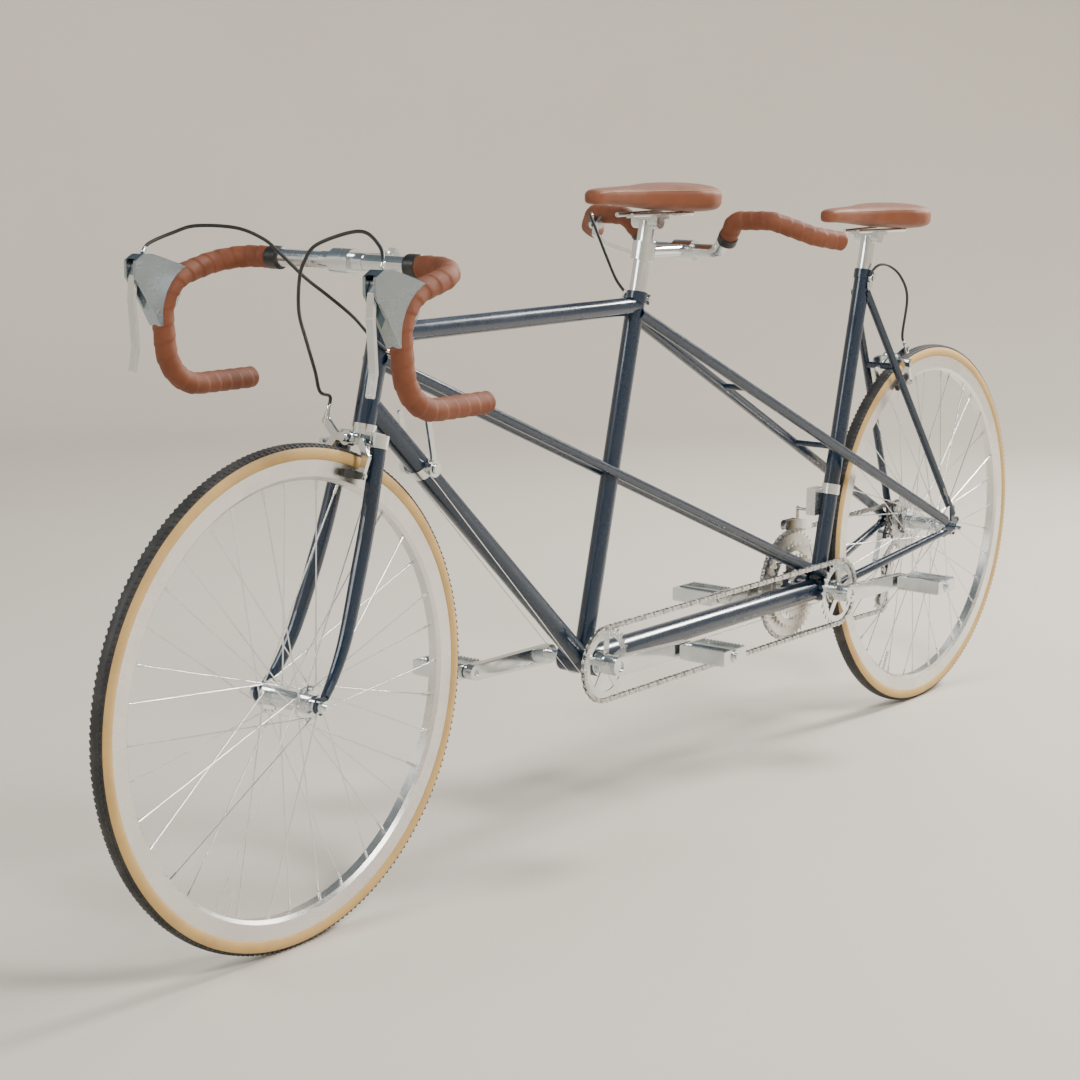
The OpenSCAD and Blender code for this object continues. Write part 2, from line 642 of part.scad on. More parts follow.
// One spoke: the elbow through its flange, the shaft to the rim and its nipple
module spoke(y, out, lean) {
    inner = y - flange_t / 2;
    outer = y + flange_t / 2;
    y0 = out > 0 ? outer + elbow : inner - elbow;
    head = out > 0 ? inner - 1.4 : outer + 1.4;
    a = [hole_circle, y0, 0];
    b = [(rim_inner - 0.4) * cos(lean), y0 * 0.12, (rim_inner - 0.4) * sin(lean)];
    rod(a, b, spoke_r);
    rod(mix(b, a, 12 / norm(b - a)), b, 2);
    end = y0 + (out > 0 ? spoke_r : -spoke_r);
    across(hole_circle, 0, min(end, head), max(end, head), spoke_r);
    across(hole_circle, 0, min(head, head + (out > 0 ? 1 : -1)), max(head, head + (out > 0 ? 1 : -1)), 1.7);
}
module spokes(left, right) color(bright) {
    step = 720 / spoke_count;
    for (k = [0:spoke_count / 2 - 1]) {
        rotate([0, k * step, 0]) spoke(left - flange_t / 2, k % 2 * 2 - 1, (k % 2 * 2 - 1) * 3 * step);
        rotate([0, (k + 0.5) * step, 0]) mirror([0, 1, 0])
            spoke(right - flange_t / 2, k % 2 * 2 - 1, (k % 2 * 2 - 1) * 3 * step);
    }
}
module at_front() { translate([front_axle_x, 0, wheel_r]) children(); }
module at_rear() { translate([rear_axle_x, 0, wheel_r]) children(); }

// Valve stems stand on the rims, between two nipples
valve_angle = 155;
module valve() color(bright) rotate([0, valve_angle, 0]) translate([0, 0, rim_inner - 38]) cylinder(r = 2.5, h = 37.6, $fn = 24);
race_r = 6;
front_flange = 34;
front_half = front_spacing / 2 - 8;
module front_hub() at_front() hub(front_flange, front_flange, front_half, race_r + run_gap);
module front_spokes() at_front() spokes(front_flange, front_flange);
module front_rim() at_front() { rim(); valve(); }
module front_tyre() at_front() tyre();
module rear_rim() at_rear() { rim(); valve(); }
module rear_tyre() at_rear() tyre();

// Axles with their cones, locknuts and nuts; the rear axle's bare ends stand out past its nuts
module axle(half_in, hub_half, nut_x, end_r) color(bright) {
    both_sides() {
        across(0, 0, hub_half - 12.3, half_in, race_r);
        across(0, 0, hub_half + 0.6, half_in, 8.5);
        across(0, 0, half_in + 4, half_in + 13, 9);
        across(0, 0, half_in, nut_x, end_r);
    }
    across(0, 0, -half_in, half_in, 4.5);
}
module front_axle() at_front() axle(front_spacing / 2, front_half, front_spacing / 2 + 17, 4.5);
rear_half = rear_spacing / 2 - 5;
rear_left = 36;
rear_right = 24;
axle_end_r = 4.6;
module rear_axle() at_rear() axle(rear_spacing / 2, rear_half, rear_spacing / 2 + 22, axle_end_r);
body_r = 17;
module rear_hub() at_rear() {
    difference() {
        hub(rear_left, rear_right, rear_half, race_r + run_gap);
        across(0, 0, -rear_half - 1, -rear_right - 4, 40);
    }
    color(bright) difference() {
        across(0, 0, -rear_half, -rear_right - 4, body_r);
        across(0, 0, -rear_half - 1, -rear_right, race_r + run_gap);
    }
}
module rear_spokes() at_rear() spokes(rear_left, rear_right);

// Chains and toothed wheels, drawn flat with X forwards and Y as the height

function pitch_r(teeth) = teeth * pitch / 360 * 180 / PI;
timing_r = pitch_r(timing_teeth);
drive_r = pitch_r(drive_teeth);
cog_teeth = [15, 17, 19, 22, 25, 28];
cog_step = 5.5;
drive_cog = 1;
cog_r = pitch_r(cog_teeth[drive_cog]);
pulley_teeth = 11;
pulley_r = pitch_r(pulley_teeth);
flat = function(p) [p[0], p[2]];
// Each wheel of a chain's path: centre, pitch radius, and 1 where the chain turns left round it or -1
jockey = [rear_axle_x + 20, wheel_r - 84];
tension = [rear_axle_x + 47.4, wheel_r - 148.74];
timing_path = [[flat(captain_bracket), timing_r, 1], [flat(stoker_bracket), timing_r, 1]];
drive_path = [[flat(stoker_bracket), drive_r, 1], [flat(rear_end), cog_r, 1], [jockey, pulley_r, -1],
    [tension, pulley_r, 1]];
function heading(a, b) = let (d = b[0] - a[0])
    atan2(d[1], d[0]) - asin((b[2] * b[1] - a[2] * a[1]) / norm(d));
function leaving(path, i) = heading(path[i], path[(i + 1) % len(path)]);
function arriving(path, i) = leaving(path, (i + len(path) - 1) % len(path));
function turn(path, i) = let (s = path[i][2], t = s * (leaving(path, i) - arriving(path, i)))
    s * (t - 360 * floor(t / 360));
function arc_len(path, i) = path[i][1] * abs(turn(path, i)) * PI / 180;
function run_len(path, i) = let (a = path[i], b = path[(i + 1) % len(path)])
    sqrt(pow(norm(b[0] - a[0]), 2) - pow(b[2] * b[1] - a[2] * a[1], 2));
function start_of(path, i) = i == 0 ? 0 : start_of(path, i - 1) + arc_len(path, i - 1) + run_len(path, i - 1);
function at_heading(w, h, offset = 0) = w[0] + (w[2] * w[1] - offset) * [sin(h), -cos(h)];
function first_link(s) = ceil(s / pitch - 0.0001);
function link_heading(path, i, k) = arriving(path, i)
    + path[i][2] * (k * pitch - start_of(path, i)) / path[i][1] * 180 / PI;
function arc_links(path, i) = let (s = start_of(path, i))
    [for (k = [first_link(s):1:first_link(s + arc_len(path, i)) - 1])
        at_heading(path[i], link_heading(path, i, k))];
function run_links(path, i) = let (s = start_of(path, i) + arc_len(path, i), h = leaving(path, i))
    [for (k = [first_link(s):1:first_link(s + run_len(path, i)) - 1])
        at_heading(path[i], h) + (k * pitch - s) * [cos(h), sin(h)]];
function links(path) = [for (i = [0:len(path) - 1]) each concat(arc_links(path, i), run_links(path, i))];
function outline(path, offset) = [for (i = [0:len(path) - 1]) let (t = turn(path, i), n = ceil(abs(t) / 12))
    for (k = [0:n]) at_heading(path[i], arriving(path, i) + t * k / n, offset)];
// The angle at which a roller sits on wheel i, for the gaps between its teeth
function gap_angle(path, i) = link_heading(path, i, first_link(start_of(path, i))) - 90 * path[i][2];

module chain(path, y) {
    for (s = [-1, 1]) let (m = y + s * (chain_inner + plate_t) / 2)
        plate_y(m - plate_t / 2, m + plate_t / 2) difference() {
            polygon(outline(path, -plate_w / 2));
            polygon(outline(path, plate_w / 2));
        }
    for (p = links(path)) across(p[0], p[1], y - chain_inner / 2, y + chain_inner / 2, roller_r);
}
module toothed(w, teeth, angle, bore) {
    difference() {
        translate(w[0]) circle(r = w[1] + tooth_tip, $fn = 180);
        for (k = [0:teeth - 1]) translate(w[0]) rotate(angle + k * 360 / teeth) {
            translate([w[1], 0]) circle(r = notch_r, $fn = 24);
            translate([w[1] + 2.6, 0]) circle(r = notch_r + 1.2, $fn = 24);
        }
        translate(w[0]) circle(r = bore, $fn = 64);
    }
}

timing_y = 46;
drive_y = -53;
ring_step = 7;
module timing_chain() color(bright) chain(timing_path, timing_y);
module drive_chain() color(bright) chain(drive_path, drive_y);

// The freewheel's sprockets, the smallest outside
module freewheel() at_rear() color(bright) {
    for (i = [0:len(cog_teeth) - 1]) {
        y = drive_y - cog_step * (drive_cog - i);
        plate_y(y - tooth_t / 2, y + tooth_t / 2)
            toothed([[0, 0], pitch_r(cog_teeth[i]), 1], cog_teeth[i], gap_angle(drive_path, 1), body_r + 2);
    }
    difference() {
        across(0, 0, drive_y - cog_step * drive_cog - 2, drive_y + cog_step * (len(cog_teeth) - 1 - drive_cog) + 2,
            body_r + 4);
        across(0, 0, -200, 0, body_r + run_gap);
    }
}

// Cranks: the spindle, its arms with the pedal axles, and the left timing ring
arm_in = 60;
arm_out = 72;
crank_t = 12;
pedal_axle_r = 5;
function arm_end(side) = -side * crank_length;
module crank_arm(side) {
    difference() {
        hull() {
            across(0, 0, side > 0 ? arm_in : -arm_in - crank_t, side > 0 ? arm_in + crank_t : -arm_in, 15);
            across(arm_end(side), 0, side > 0 ? arm_out : -arm_out - crank_t,
                side > 0 ? arm_out + crank_t : -arm_out, 12);
        }
        across(0, 0, -arm_in - 30, arm_in + 30, spindle_r);
        across(arm_end(side), 0, -120, 120, pedal_axle_r);
    }
    across(0, 0, side > 0 ? arm_in + crank_t - 3 : -arm_in - crank_t + 1,
        side > 0 ? arm_in + crank_t - 1 : -arm_in - crank_t + 3, spindle_r);
}
module pedal_axle(side) {
    y0 = arm_out;
    y1 = arm_out + crank_t + pedal_w + 4;
    across(arm_end(side), 0, side > 0 ? y0 : -y1, side > 0 ? y1 : -y0, pedal_axle_r);
}
module spider(y0, y1, reach, arms) {
    plate_y(y0, y1) difference() {
        union() {
            circle(r = 17, $fn = 48);
            for (k = [0:arms - 1]) rotate(k * 360 / arms + 90) translate([0, -6]) square([reach, 12]);
        }
        circle(r = spindle_r + 0.01, $fn = 48);
    }
}
module timing_ring(path_end) {
    w = [[0, 0], timing_r, 1];
    plate_y(timing_y - tooth_t / 2, timing_y + tooth_t / 2)
        toothed(w, timing_teeth, gap_angle(timing_path, path_end), timing_r - 14);
    spider(timing_y - tooth_t / 2, timing_y + tooth_t / 2, timing_r - 13, 5);
    across(0, 0, timing_y + tooth_t / 2, arm_in, 15);
}
module crank_set(path_end) color(bright) {
    for (side = [-1, 1]) {
        crank_arm(side);
        pedal_axle(side);
    }
    across(0, 0, -arm_in - crank_t + 3, arm_in + crank_t - 3, spindle_r);
    difference() {
        timing_ring(path_end);
        across(0, 0, 0, 100, spindle_r);
    }
}
module captain_crank() translate(captain_bracket) crank_set(0);
module stoker_crank() translate(stoker_bracket) crank_set(1);
module drive_chainrings() translate(stoker_bracket) color(bright) {
    rings = [[drive_teeth, 0], [38, ring_step], [28, 2 * ring_step]];
    for (r = rings) plate_y(drive_y + r[1] - tooth_t / 2, drive_y + r[1] + tooth_t / 2)
        toothed([[0, 0], pitch_r(r[0]), 1], r[0], gap_angle(drive_path, 0), r[0] == 28 ? 32 : 62);
    spider(drive_y - 4, drive_y - 0.4, 72, 5);
    for (k = [0:4]) rotate([0, -k * 72 - 90, 0]) {
        across(67, 0, drive_y - 0.5, drive_y + ring_step + 0.5, 3.5);
        across(38, 0, drive_y - 0.5, drive_y + 2 * ring_step + 0.5, 3.5);
    }
}

// Quill pedals: a barrel on the axle, two end plates and front and rear cage plates
cage_l = 62;
cage_h = 22;
module pedal(side) color(bright) {
    y0 = arm_out + crank_t + 1;
    m = y0 + pedal_w / 2;
    translate([0, side > 0 ? 0 : -2 * m, 0]) difference() {
        union() {
            across(0, 0, y0, y0 + pedal_w, 10);
            for (y = [y0 + 4, y0 + pedal_w - 4]) plate_y(y - 1.5, y + 1.5)
                polygon([[-cage_l / 2, -cage_h / 2], [cage_l / 2, -cage_h / 2], [cage_l / 2, cage_h / 2],
                    [-cage_l / 2, cage_h / 2]]);
            for (s = [-1, 1]) translate([s * (cage_l / 2 - 1) - 1, y0 + 2.5, -cage_h / 2])
                cube([2, pedal_w - 5, cage_h]);
        }
        across(0, 0, y0 - 1, y0 + pedal_w + 1, pedal_axle_r + run_gap);
    }
}
module pedal_at(centre, side) { translate(centre + [arm_end(side), 0, 0]) pedal(side); }
module captain_left_pedal() pedal_at(captain_bracket, 1);
module captain_right_pedal() pedal_at(captain_bracket, -1);
module stoker_left_pedal() pedal_at(stoker_bracket, 1);
module stoker_right_pedal() pedal_at(stoker_bracket, -1);

// Derailleurs
cage_pulley_t = 2;
module rear_derailleur() color(bright) {
    y = -dropout_y;
    across(hanger[0], hanger[1], y - 12, y + 6, 4.9);
    across(hanger[0], hanger[1], y - 14, y - dropout_t / 2 - 0.02, 10);
    difference() {
        plate_y(y - 14, y - 3) strip([hanger, [hanger[0] + 4, hanger[1] - 22], jockey + [4, 2]], 20);
        plate_y(drive_y - 9, drive_y + 9) translate(jockey) circle(r = 40, $fn = 64);
    }
    across(jockey[0], jockey[1], y - 14, drive_y + 7, 4);
}
module derailleur_cage() color(bright) {
    plates = [drive_y - 5.5, drive_y + 4];
    for (y = plates) plate_y(y, y + 1.5) difference() {
        strip([jockey, tension], 22);
        translate(jockey) circle(r = 4 + run_gap, $fn = 48);
    }
    for (i = [0, 1]) let (w = drive_path[2 + i]) difference() {
        plate_y(drive_y - cage_pulley_t / 2, drive_y + cage_pulley_t / 2)
            toothed(w, pulley_teeth, gap_angle(drive_path, 2 + i), i == 0 ? 4 + run_gap : 3);
    }
    for (i = [0, 1]) let (w = drive_path[2 + i]) difference() {
        across(w[0][0], w[0][1], drive_y - 4, drive_y + 4, 8);
        across(w[0][0], w[0][1], drive_y - 5, drive_y + 5, i == 0 ? 4 + run_gap : 3);
        across(w[0][0], w[0][1], drive_y - 1, drive_y + 1, 9);
    }
    across(tension[0], tension[1], drive_y - 5.5, drive_y + 5.5, 3);
}
fd_z = 448;
fd_place = stoker_tube(fd_z);
fd_pin = [fd_place[0] + 31, fd_z - 36];
fd_pin_r = 2.6;
stoker_flat = flat(stoker_bracket);
module front_derailleur() color(bright) {
    top_r = drive_r + tooth_tip + 12;
    cage = [stoker_flat + [-52, 103], stoker_flat + [-10, top_r], stoker_flat + [22, top_r]];
    for (y = [drive_y - 5.5, drive_y + 4.3]) plate_y(y, y + 1.2) strip(cage, 18);
    plate_y(drive_y + 4.3, drive_y + 5.5) strip([cage[1], fd_pin], 10);
    across(stoker_x - 31, bracket_h + 113, drive_y - 5, drive_y + 5, 2.5);
    across(fd_pin[0], fd_pin[1], drive_y + 5, -20, fd_pin_r);
}

// Down-tube shifters on a band, with the wires' stops, and the other fittings on the frame
shift_pivot = mix(down_meet, captain_bracket, 0.22);
boss_y = main_tube_r + 3;
module band(a, b, r, t) { difference() { rod(a, b, r + t); rod(a - (b - a), b + (b - a), r + 0.02); } }
module cable_fittings() color(bright) {
    dir = unit(down_meet - captain_bracket);
    band(shift_pivot - dir * 9, shift_pivot + dir * 9, main_tube_r, 1.5);
    both_sides() difference() {
        across(shift_pivot[0], shift_pivot[2], main_tube_r - 3, boss_y + 11, 4);
        rod(down_meet, captain_bracket, main_tube_r + 0.02);
    }
    both_sides() across(shift_pivot[0], shift_pivot[2], boss_y + 10, boss_y + 13, 7);
    seat_dir = unit(stoker_tube(500) - stoker_tube(400));
    band(fd_place - seat_dir * 9, fd_place + seat_dir * 9, seat_tube_r, 2);
    difference() {
        translate(fd_place + [8, -26, -44]) cube([31, 18, 48]);
        stoker_solid(seat_tube_r + 2.02);
        across(fd_pin[0], fd_pin[1], -40, 0, fd_pin_r + run_gap);
    }
    cable_stop(head_stop, head_stop_dir);
    cable_stop(cluster_stop, down);
    cable_stop(stoker_stop, down);
}
down = [0, 0, -1];
head_stop_dir = unit([-1, 0, -0.35]);
head_stop = on_head(70) + [-13, head_r + 3, 0];
cluster_stop = captain_tube(818) + [4, -seat_tube_r - 5.5, 0];
stoker_stop = stoker_tube(806) + [4, seat_tube_r + 4.9, 0];
module cable_stop(p, dir) {
    difference() {
        rod(p - dir * 6, p + dir * 6, 5);
        rod(p - dir * 8, p + dir * 8, 1);
        head_solid(head_r + 0.01);
        captain_solid(seat_tube_r + 2.01);
        stoker_solid(seat_tube_r + 0.01);
    }
}
lever_pts = [[0, 0], [2, 20], [8, 48], [14, 74]];
module shifter(side) color(bright) {
    translate([shift_pivot[0], 0, shift_pivot[2]]) {
        y0 = boss_y + 1;
        a = side > 0 ? y0 : -y0 - 8;
        plate_y(a, a + 8) difference() {
            circle(r = 12, $fn = 48);
            circle(r = 4 + run_gap, $fn = 48);
        }
        plate_y(a + (side > 0 ? 3 : 1), a + (side > 0 ? 7 : 5)) difference() {
            strip(lever_pts, 9);
            circle(r = 8, $fn = 48);
        }
    }
}
module left_shifter() shifter(1);
module right_shifter() shifter(-1);

// Seatposts with saddle clamps and rails
saddle_t = 46;
nose_t = 30;
rail_r = 3.5;
module seatpost(foot, top, saddle_z) color(bright) {
    rail_z = saddle_z - saddle_t - seat_gap - rail_r;
    rod(foot, top, post_r);
    across(top[0], top[2] + 1, -24, 24, 11);
    translate([top[0] - 16, -29, rail_z - 7]) cube([32, 58, 6]);
    both_sides() rod([top[0] - 78, 30, rail_z], [top[0] + 62, 14, rail_z], rail_r);
}
captain_post_top = captain_tube(captain_saddle_h - saddle_t - 16);
captain_post_foot = captain_tube(seat_top_h - 150);
stoker_post_top = stoker_tube(stoker_saddle_h - saddle_t - 16);
stoker_post_foot = stoker_tube(seat_top_h - 150);
module captain_seatpost() seatpost(captain_post_foot, captain_post_top, captain_saddle_h);
module stoker_seatpost() seatpost(stoker_post_foot, stoker_post_top, stoker_saddle_h);

// Saddle covers: a wide rear narrowing to a rounded nose, closed underneath
module saddle(x, z) color(leather) {
    tail = -0.44 * saddle_length;
    nose = tail + saddle_length;
    half = saddle_w / 2;
    translate([x, 0, z]) difference() {
        hull() {
            for (s = [-1, 1]) translate([tail + 34, s * (half - 32), -18])
                scale([1, 1, 0.45]) sphere(r = 32, $fn = 32);
            for (s = [-1, 1]) translate([tail + 30, s * (half - 30), -saddle_t]) cylinder(r = 26, h = 4, $fn = 32);
            translate([nose - 20, 0, -14]) scale([1, 1, 0.6]) sphere(r = 20, $fn = 32);
            translate([nose - 20, 0, -nose_t]) cylinder(r = 15, h = 4, $fn = 32);
            translate([tail + 130, 0, -15]) scale([1, 1, 0.3]) sphere(r = 40, $fn = 32);
        }
    }
}
module captain_saddle() saddle(captain_post_top[0] - 4, captain_saddle_h);
module stoker_saddle() saddle(stoker_post_top[0] - 4, stoker_saddle_h);

// Stoker's handlebar, clamped to the captain's seatpost
stoker_bar = [-44, 0, 891];
collar_mid = captain_tube(893);
stoker_path = rounded([[0, 18, 0], [0, 62, 0], [16, 104, 50], [14, 168, 52], [-38, 214, 28], [-82, 236, 20]],
    [22, 22, 24, 30], 6);
grip_path = concat([[1, 78, 16]], [for (p = stoker_path) if (p[1] > 84) p]);
module stoker_handlebar() color(bright) {
    up = unit([-seat_slope, 0, 1]);
    difference() {
        union() {
            rod(collar_mid - up * 14, collar_mid + up * 14, post_r + 5);
            rod(collar_mid + [-4, 0, 0], stoker_bar, 9);
            translate(stoker_bar) rotate([90, 0, 0]) translate([0, 0, -18]) cylinder(r = 16, h = 36, $fn = 48);
        }
        rod(collar_mid - up * 60, collar_mid + up * 60, post_r + 0.03);
    }
    translate(stoker_bar) both_sides() sweep(stoker_path, 11, 20, [0, 0, 1]);
    translate(stoker_bar) stoker_bracket_lever();
}
stoker_pivot = [34, 36];
stoker_lever_y = -150;
module stoker_bracket_lever() {
    difference() {
        plate_y(stoker_lever_y - 9, stoker_lever_y + 9) strip([[14, 52], stoker_pivot], 15);
        translate([stoker_pivot[0] - 9, stoker_lever_y - 4.5, stoker_pivot[1] - 12]) cube([40, 9, 60]);
        mirror([0, 1, 0]) sweep(grip_path, 15.3, 20, [0, 0, 1]);
    }
    across(stoker_pivot[0], stoker_pivot[1], stoker_lever_y - 4.5, stoker_lever_y + 4.5, pivot_r);
}
module stoker_grips() translate(stoker_bar) both_sides() {
    color(leather) difference() {
        sweep(grip_path, 15, 20, [0, 0, 1]);
        sweep(concat(stoker_path, [stoker_path[len(stoker_path) - 1] + [-14, 8, -2]]), 11.15, 20, [0, 0, 1]);
    }
}
module stoker_brake_lever() color(bright) translate(stoker_bar)
    plate_y(stoker_lever_y - 3.5, stoker_lever_y + 3.5) difference() {
        strip([for (p = [[0, 0], [2, -16], [-24, -32], [-90, -48]]) stoker_pivot + p], 8);
        translate(stoker_pivot) circle(r = pivot_r + run_gap, $fn = 48);
    }

// Brake cables, as points along their routes
front_route = [[915, 208, 918], [912, 208, 928], [903, 195, 943], [894, 165, 958],
    [890, 130, 956], [897, 85, 940], [893, 62, 920], [882, 42, 896], [852, 12, 850], [815, -10, 808], [778, -30, 765], [758, -40, 735]];
rear_route = [[915, -208, 918], [902, -208, 930], [872, -195, 943], [849, -175, 952], [820, -130, 950],
    [800, -100, 936], [790, -80, 918], [775, -50, 887], [758, -22, 862], [740, 4, 836], [724, 18, 812]];
stoker_route = [[-2, -150, 938], [12, -146, 944], [34, -120, 926], [56, -85, 890], [80, -45, 850]];
caliper_route = [[-609, 21, 832], [-628, 24, 841], [-656, 28, 838], [-686, 35, 818], [-706, 39, 780]];
cable_r = 2.4;
module cable(points) { color(black) sweep(spline(points, 4), cable_r, 8, [0.3, 0.2, 1]); }
function place_front(p) = head_ref + [p[0] * cos(head_lean) - p[2] * sin(head_lean), p[1],
    p[0] * sin(head_lean) + p[2] * cos(head_lean)];
front_barrel = place_front([cable_x, ear_y, brake_z + barrel_z + 13]);
function place_rear(p) = bridge + [-p[0] * cos(stay_lean) + p[2] * sin(stay_lean), -p[1],
    p[0] * sin(stay_lean) + p[2] * cos(stay_lean)];
rear_barrel = place_rear([cable_x, ear_y, barrel_z + 13]);
function stop_mouth(p, dir, far) = p - dir * far;
module front_brake_cable()
    cable(concat(front_route, [place_front([cable_x, ear_y, brake_z + 52]), front_barrel]));
module bar_to_frame_cable()
    cable(concat(rear_route, [for (far = [16, 6.8]) stop_mouth(head_stop, head_stop_dir, far)]));
module frame_cables() {
    cable(concat(stoker_route, [for (far = [14, 6.8]) stop_mouth(cluster_stop, down, far)]));
    cable(concat([for (far = [6.8, 14]) stop_mouth(stoker_stop, down, far)], caliper_route,
        [place_rear([cable_x, ear_y, 52]), rear_barrel]));
}

head_tube();
top_tube();
down_tube();
captain_seat_tube();
boom_tube();
stoker_seat_tube();
lower_laterals();
upper_laterals();
chain_stays();
seat_stays();
bracket_shells();
bearing_cups();
cable_fittings();
frame_cables();
timing_chain();
drive_chain();
rear_axle();
fork_crown();
fork_blades();
stem();
handlebar();
bar_tape();
lever_hoods();
front_axle();
front_brake_cable();
bar_to_frame_cable();
front_hub();
front_spokes();
front_rim();
front_tyre();
rear_hub();
rear_spokes();
rear_rim();
rear_tyre();
freewheel();
captain_crank();
stoker_crank();
drive_chainrings();
captain_left_pedal();
captain_right_pedal();
stoker_left_pedal();
stoker_right_pedal();
left_brake_lever();
right_brake_lever();
stoker_brake_lever();
front_arm_left();
front_arm_right();
rear_arm_left();
rear_arm_right();
rear_derailleur();
derailleur_cage();
front_derailleur();
left_shifter();
right_shifter();
captain_seatpost();
captain_saddle();
stoker_handlebar();
stoker_grips();
stoker_seatpost();
stoker_saddle();
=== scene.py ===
import json
import math
import bmesh
import bpy
from mathutils import Matrix, Vector

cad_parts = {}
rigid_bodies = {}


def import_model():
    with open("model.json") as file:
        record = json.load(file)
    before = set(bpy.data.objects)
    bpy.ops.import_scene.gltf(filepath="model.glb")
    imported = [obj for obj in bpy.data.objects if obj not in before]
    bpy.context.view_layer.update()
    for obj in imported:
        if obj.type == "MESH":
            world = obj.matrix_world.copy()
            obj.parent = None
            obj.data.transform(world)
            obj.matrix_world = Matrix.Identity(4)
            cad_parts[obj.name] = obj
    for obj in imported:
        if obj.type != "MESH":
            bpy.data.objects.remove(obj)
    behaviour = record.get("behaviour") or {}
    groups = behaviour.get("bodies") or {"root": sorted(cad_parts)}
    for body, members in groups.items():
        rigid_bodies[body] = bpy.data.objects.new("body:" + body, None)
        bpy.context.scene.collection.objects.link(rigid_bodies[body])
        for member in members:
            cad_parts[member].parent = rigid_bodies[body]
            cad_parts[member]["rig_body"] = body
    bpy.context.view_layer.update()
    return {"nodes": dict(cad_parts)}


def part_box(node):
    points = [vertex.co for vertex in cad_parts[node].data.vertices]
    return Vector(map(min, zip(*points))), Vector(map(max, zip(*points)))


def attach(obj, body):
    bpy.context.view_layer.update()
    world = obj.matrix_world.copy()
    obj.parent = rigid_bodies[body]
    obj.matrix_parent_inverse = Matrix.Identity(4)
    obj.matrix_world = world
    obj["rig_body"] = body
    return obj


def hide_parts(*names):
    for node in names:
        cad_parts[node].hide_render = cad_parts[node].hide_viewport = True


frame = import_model()

# ---------------------------------------------------------------------------------------------
# Camera and studio. A long lens looks down a little on the left front of the bicycle. The floor is
# a pale painted disc that curls up into a round wall, and soft lamps hang above it.
look_yaw, look_pitch, look_roll = math.radians(217.429), math.radians(-10.644), math.radians(0.573)
ahead = Vector((math.cos(look_pitch) * math.cos(look_yaw), math.cos(look_pitch) * math.sin(look_yaw),
                math.sin(look_pitch)))
level_right = ahead.cross(Vector((0, 0, 1))).normalized()
level_up = level_right.cross(ahead)
right = level_right * math.cos(look_roll) + level_up * math.sin(look_roll)
up = level_up * math.cos(look_roll) - level_right * math.sin(look_roll)
lens = bpy.data.cameras.new("camera")
lens.lens, lens.sensor_width, lens.clip_start, lens.clip_end = 76.595, 36.0, 0.05, 60
camera = bpy.data.objects.new("camera", lens)
camera.matrix_world = Matrix((
    (right.x, up.x, -ahead.x, 2.9936), (right.y, up.y, -ahead.y, 2.0421), (right.z, up.z, -ahead.z, 1.1087),
    (0, 0, 0, 1)))
bpy.context.scene.collection.objects.link(camera)
bpy.context.scene.camera = camera


def piece_from(name, verts, faces, finish, smooth=True):
    mesh = bpy.data.meshes.new(name)
    mesh.from_pydata([tuple(v) for v in verts], [], faces)
    work = bmesh.new()
    work.from_mesh(mesh)
    bmesh.ops.remove_doubles(work, verts=work.verts, dist=1e-6)
    bmesh.ops.recalc_face_normals(work, faces=work.faces)
    for face in work.faces:
        face.smooth = smooth
    work.to_mesh(mesh)
    work.free()
    mesh.materials.append(finish)
    piece = bpy.data.objects.new(name, mesh)
    bpy.context.scene.collection.objects.link(piece)
    return piece


def new_finish(name, colour, roughness, metallic=0.0, **sockets):
    finish = bpy.data.materials.new(name)
    finish.use_nodes = True
    shader = finish.node_tree.nodes["Principled BSDF"]
    shader.inputs["Base Color"].default_value = (*colour, 1)
    shader.inputs["Roughness"].default_value = roughness
    shader.inputs["Metallic"].default_value = metallic
    for socket, value in sockets.items():
        shader.inputs[socket.replace("_", " ")].default_value = value
    return finish


def add_node(tree, kind, inputs=None, **settings):
    made = tree.nodes.new(kind)
    for setting, value in settings.items():
        setattr(made, setting, value)
    for socket, value in (inputs or {}).items():
        if isinstance(value, bpy.types.NodeSocket):
            tree.links.new(value, made.inputs[socket])
        else:
            made.inputs[socket].default_value = value
    return made


studio_paint = new_finish("studio_paint", (0.62, 0.585, 0.53), 0.75)
tree = studio_paint.node_tree
place = add_node(tree, "ShaderNodeTexCoord")
mottle = add_node(tree, "ShaderNodeTexNoise", {"Vector": place.outputs["Object"], "Scale": 1.3, "Detail": 3.0})
tint = add_node(tree, "ShaderNodeValToRGB", {"Fac": mottle.outputs["Fac"]})
tint.color_ramp.elements[0].color = (0.60, 0.555, 0.49, 1)
tint.color_ramp.elements[1].color = (0.64, 0.595, 0.53, 1)
tree.links.new(tint.outputs["Color"], tree.nodes["Principled BSDF"].inputs["Base Color"])

bowl_profile = [(0.01, 0.0), (2.0, 0.0), (4.3, 0.0)] + [
    (4.3 + 1.1 * math.sin(a * math.pi / 24), 1.1 - 1.1 * math.cos(a * math.pi / 24)) for a in range(1, 13)] + [(5.4, 3.4)]
verts, faces, turns = [], [], 96
for r, z in bowl_profile:
    verts += [(r * math.cos(2 * math.pi * k / turns), r * math.sin(2 * math.pi * k / turns), z - 0.0005)
              for k in range(turns)]
for i in range(len(bowl_profile) - 1):
    faces += [(i * turns + k, i * turns + (k + 1) % turns, (i + 1) * turns + (k + 1) % turns, (i + 1) * turns + k)
              for k in range(turns)]
faces.append(tuple(range(turns)))
studio = piece_from("studio_floor", verts, faces, studio_paint)
for face in studio.data.polygons:
    if face.normal.z < -0.5:
        studio.data.flip_normals()
        break


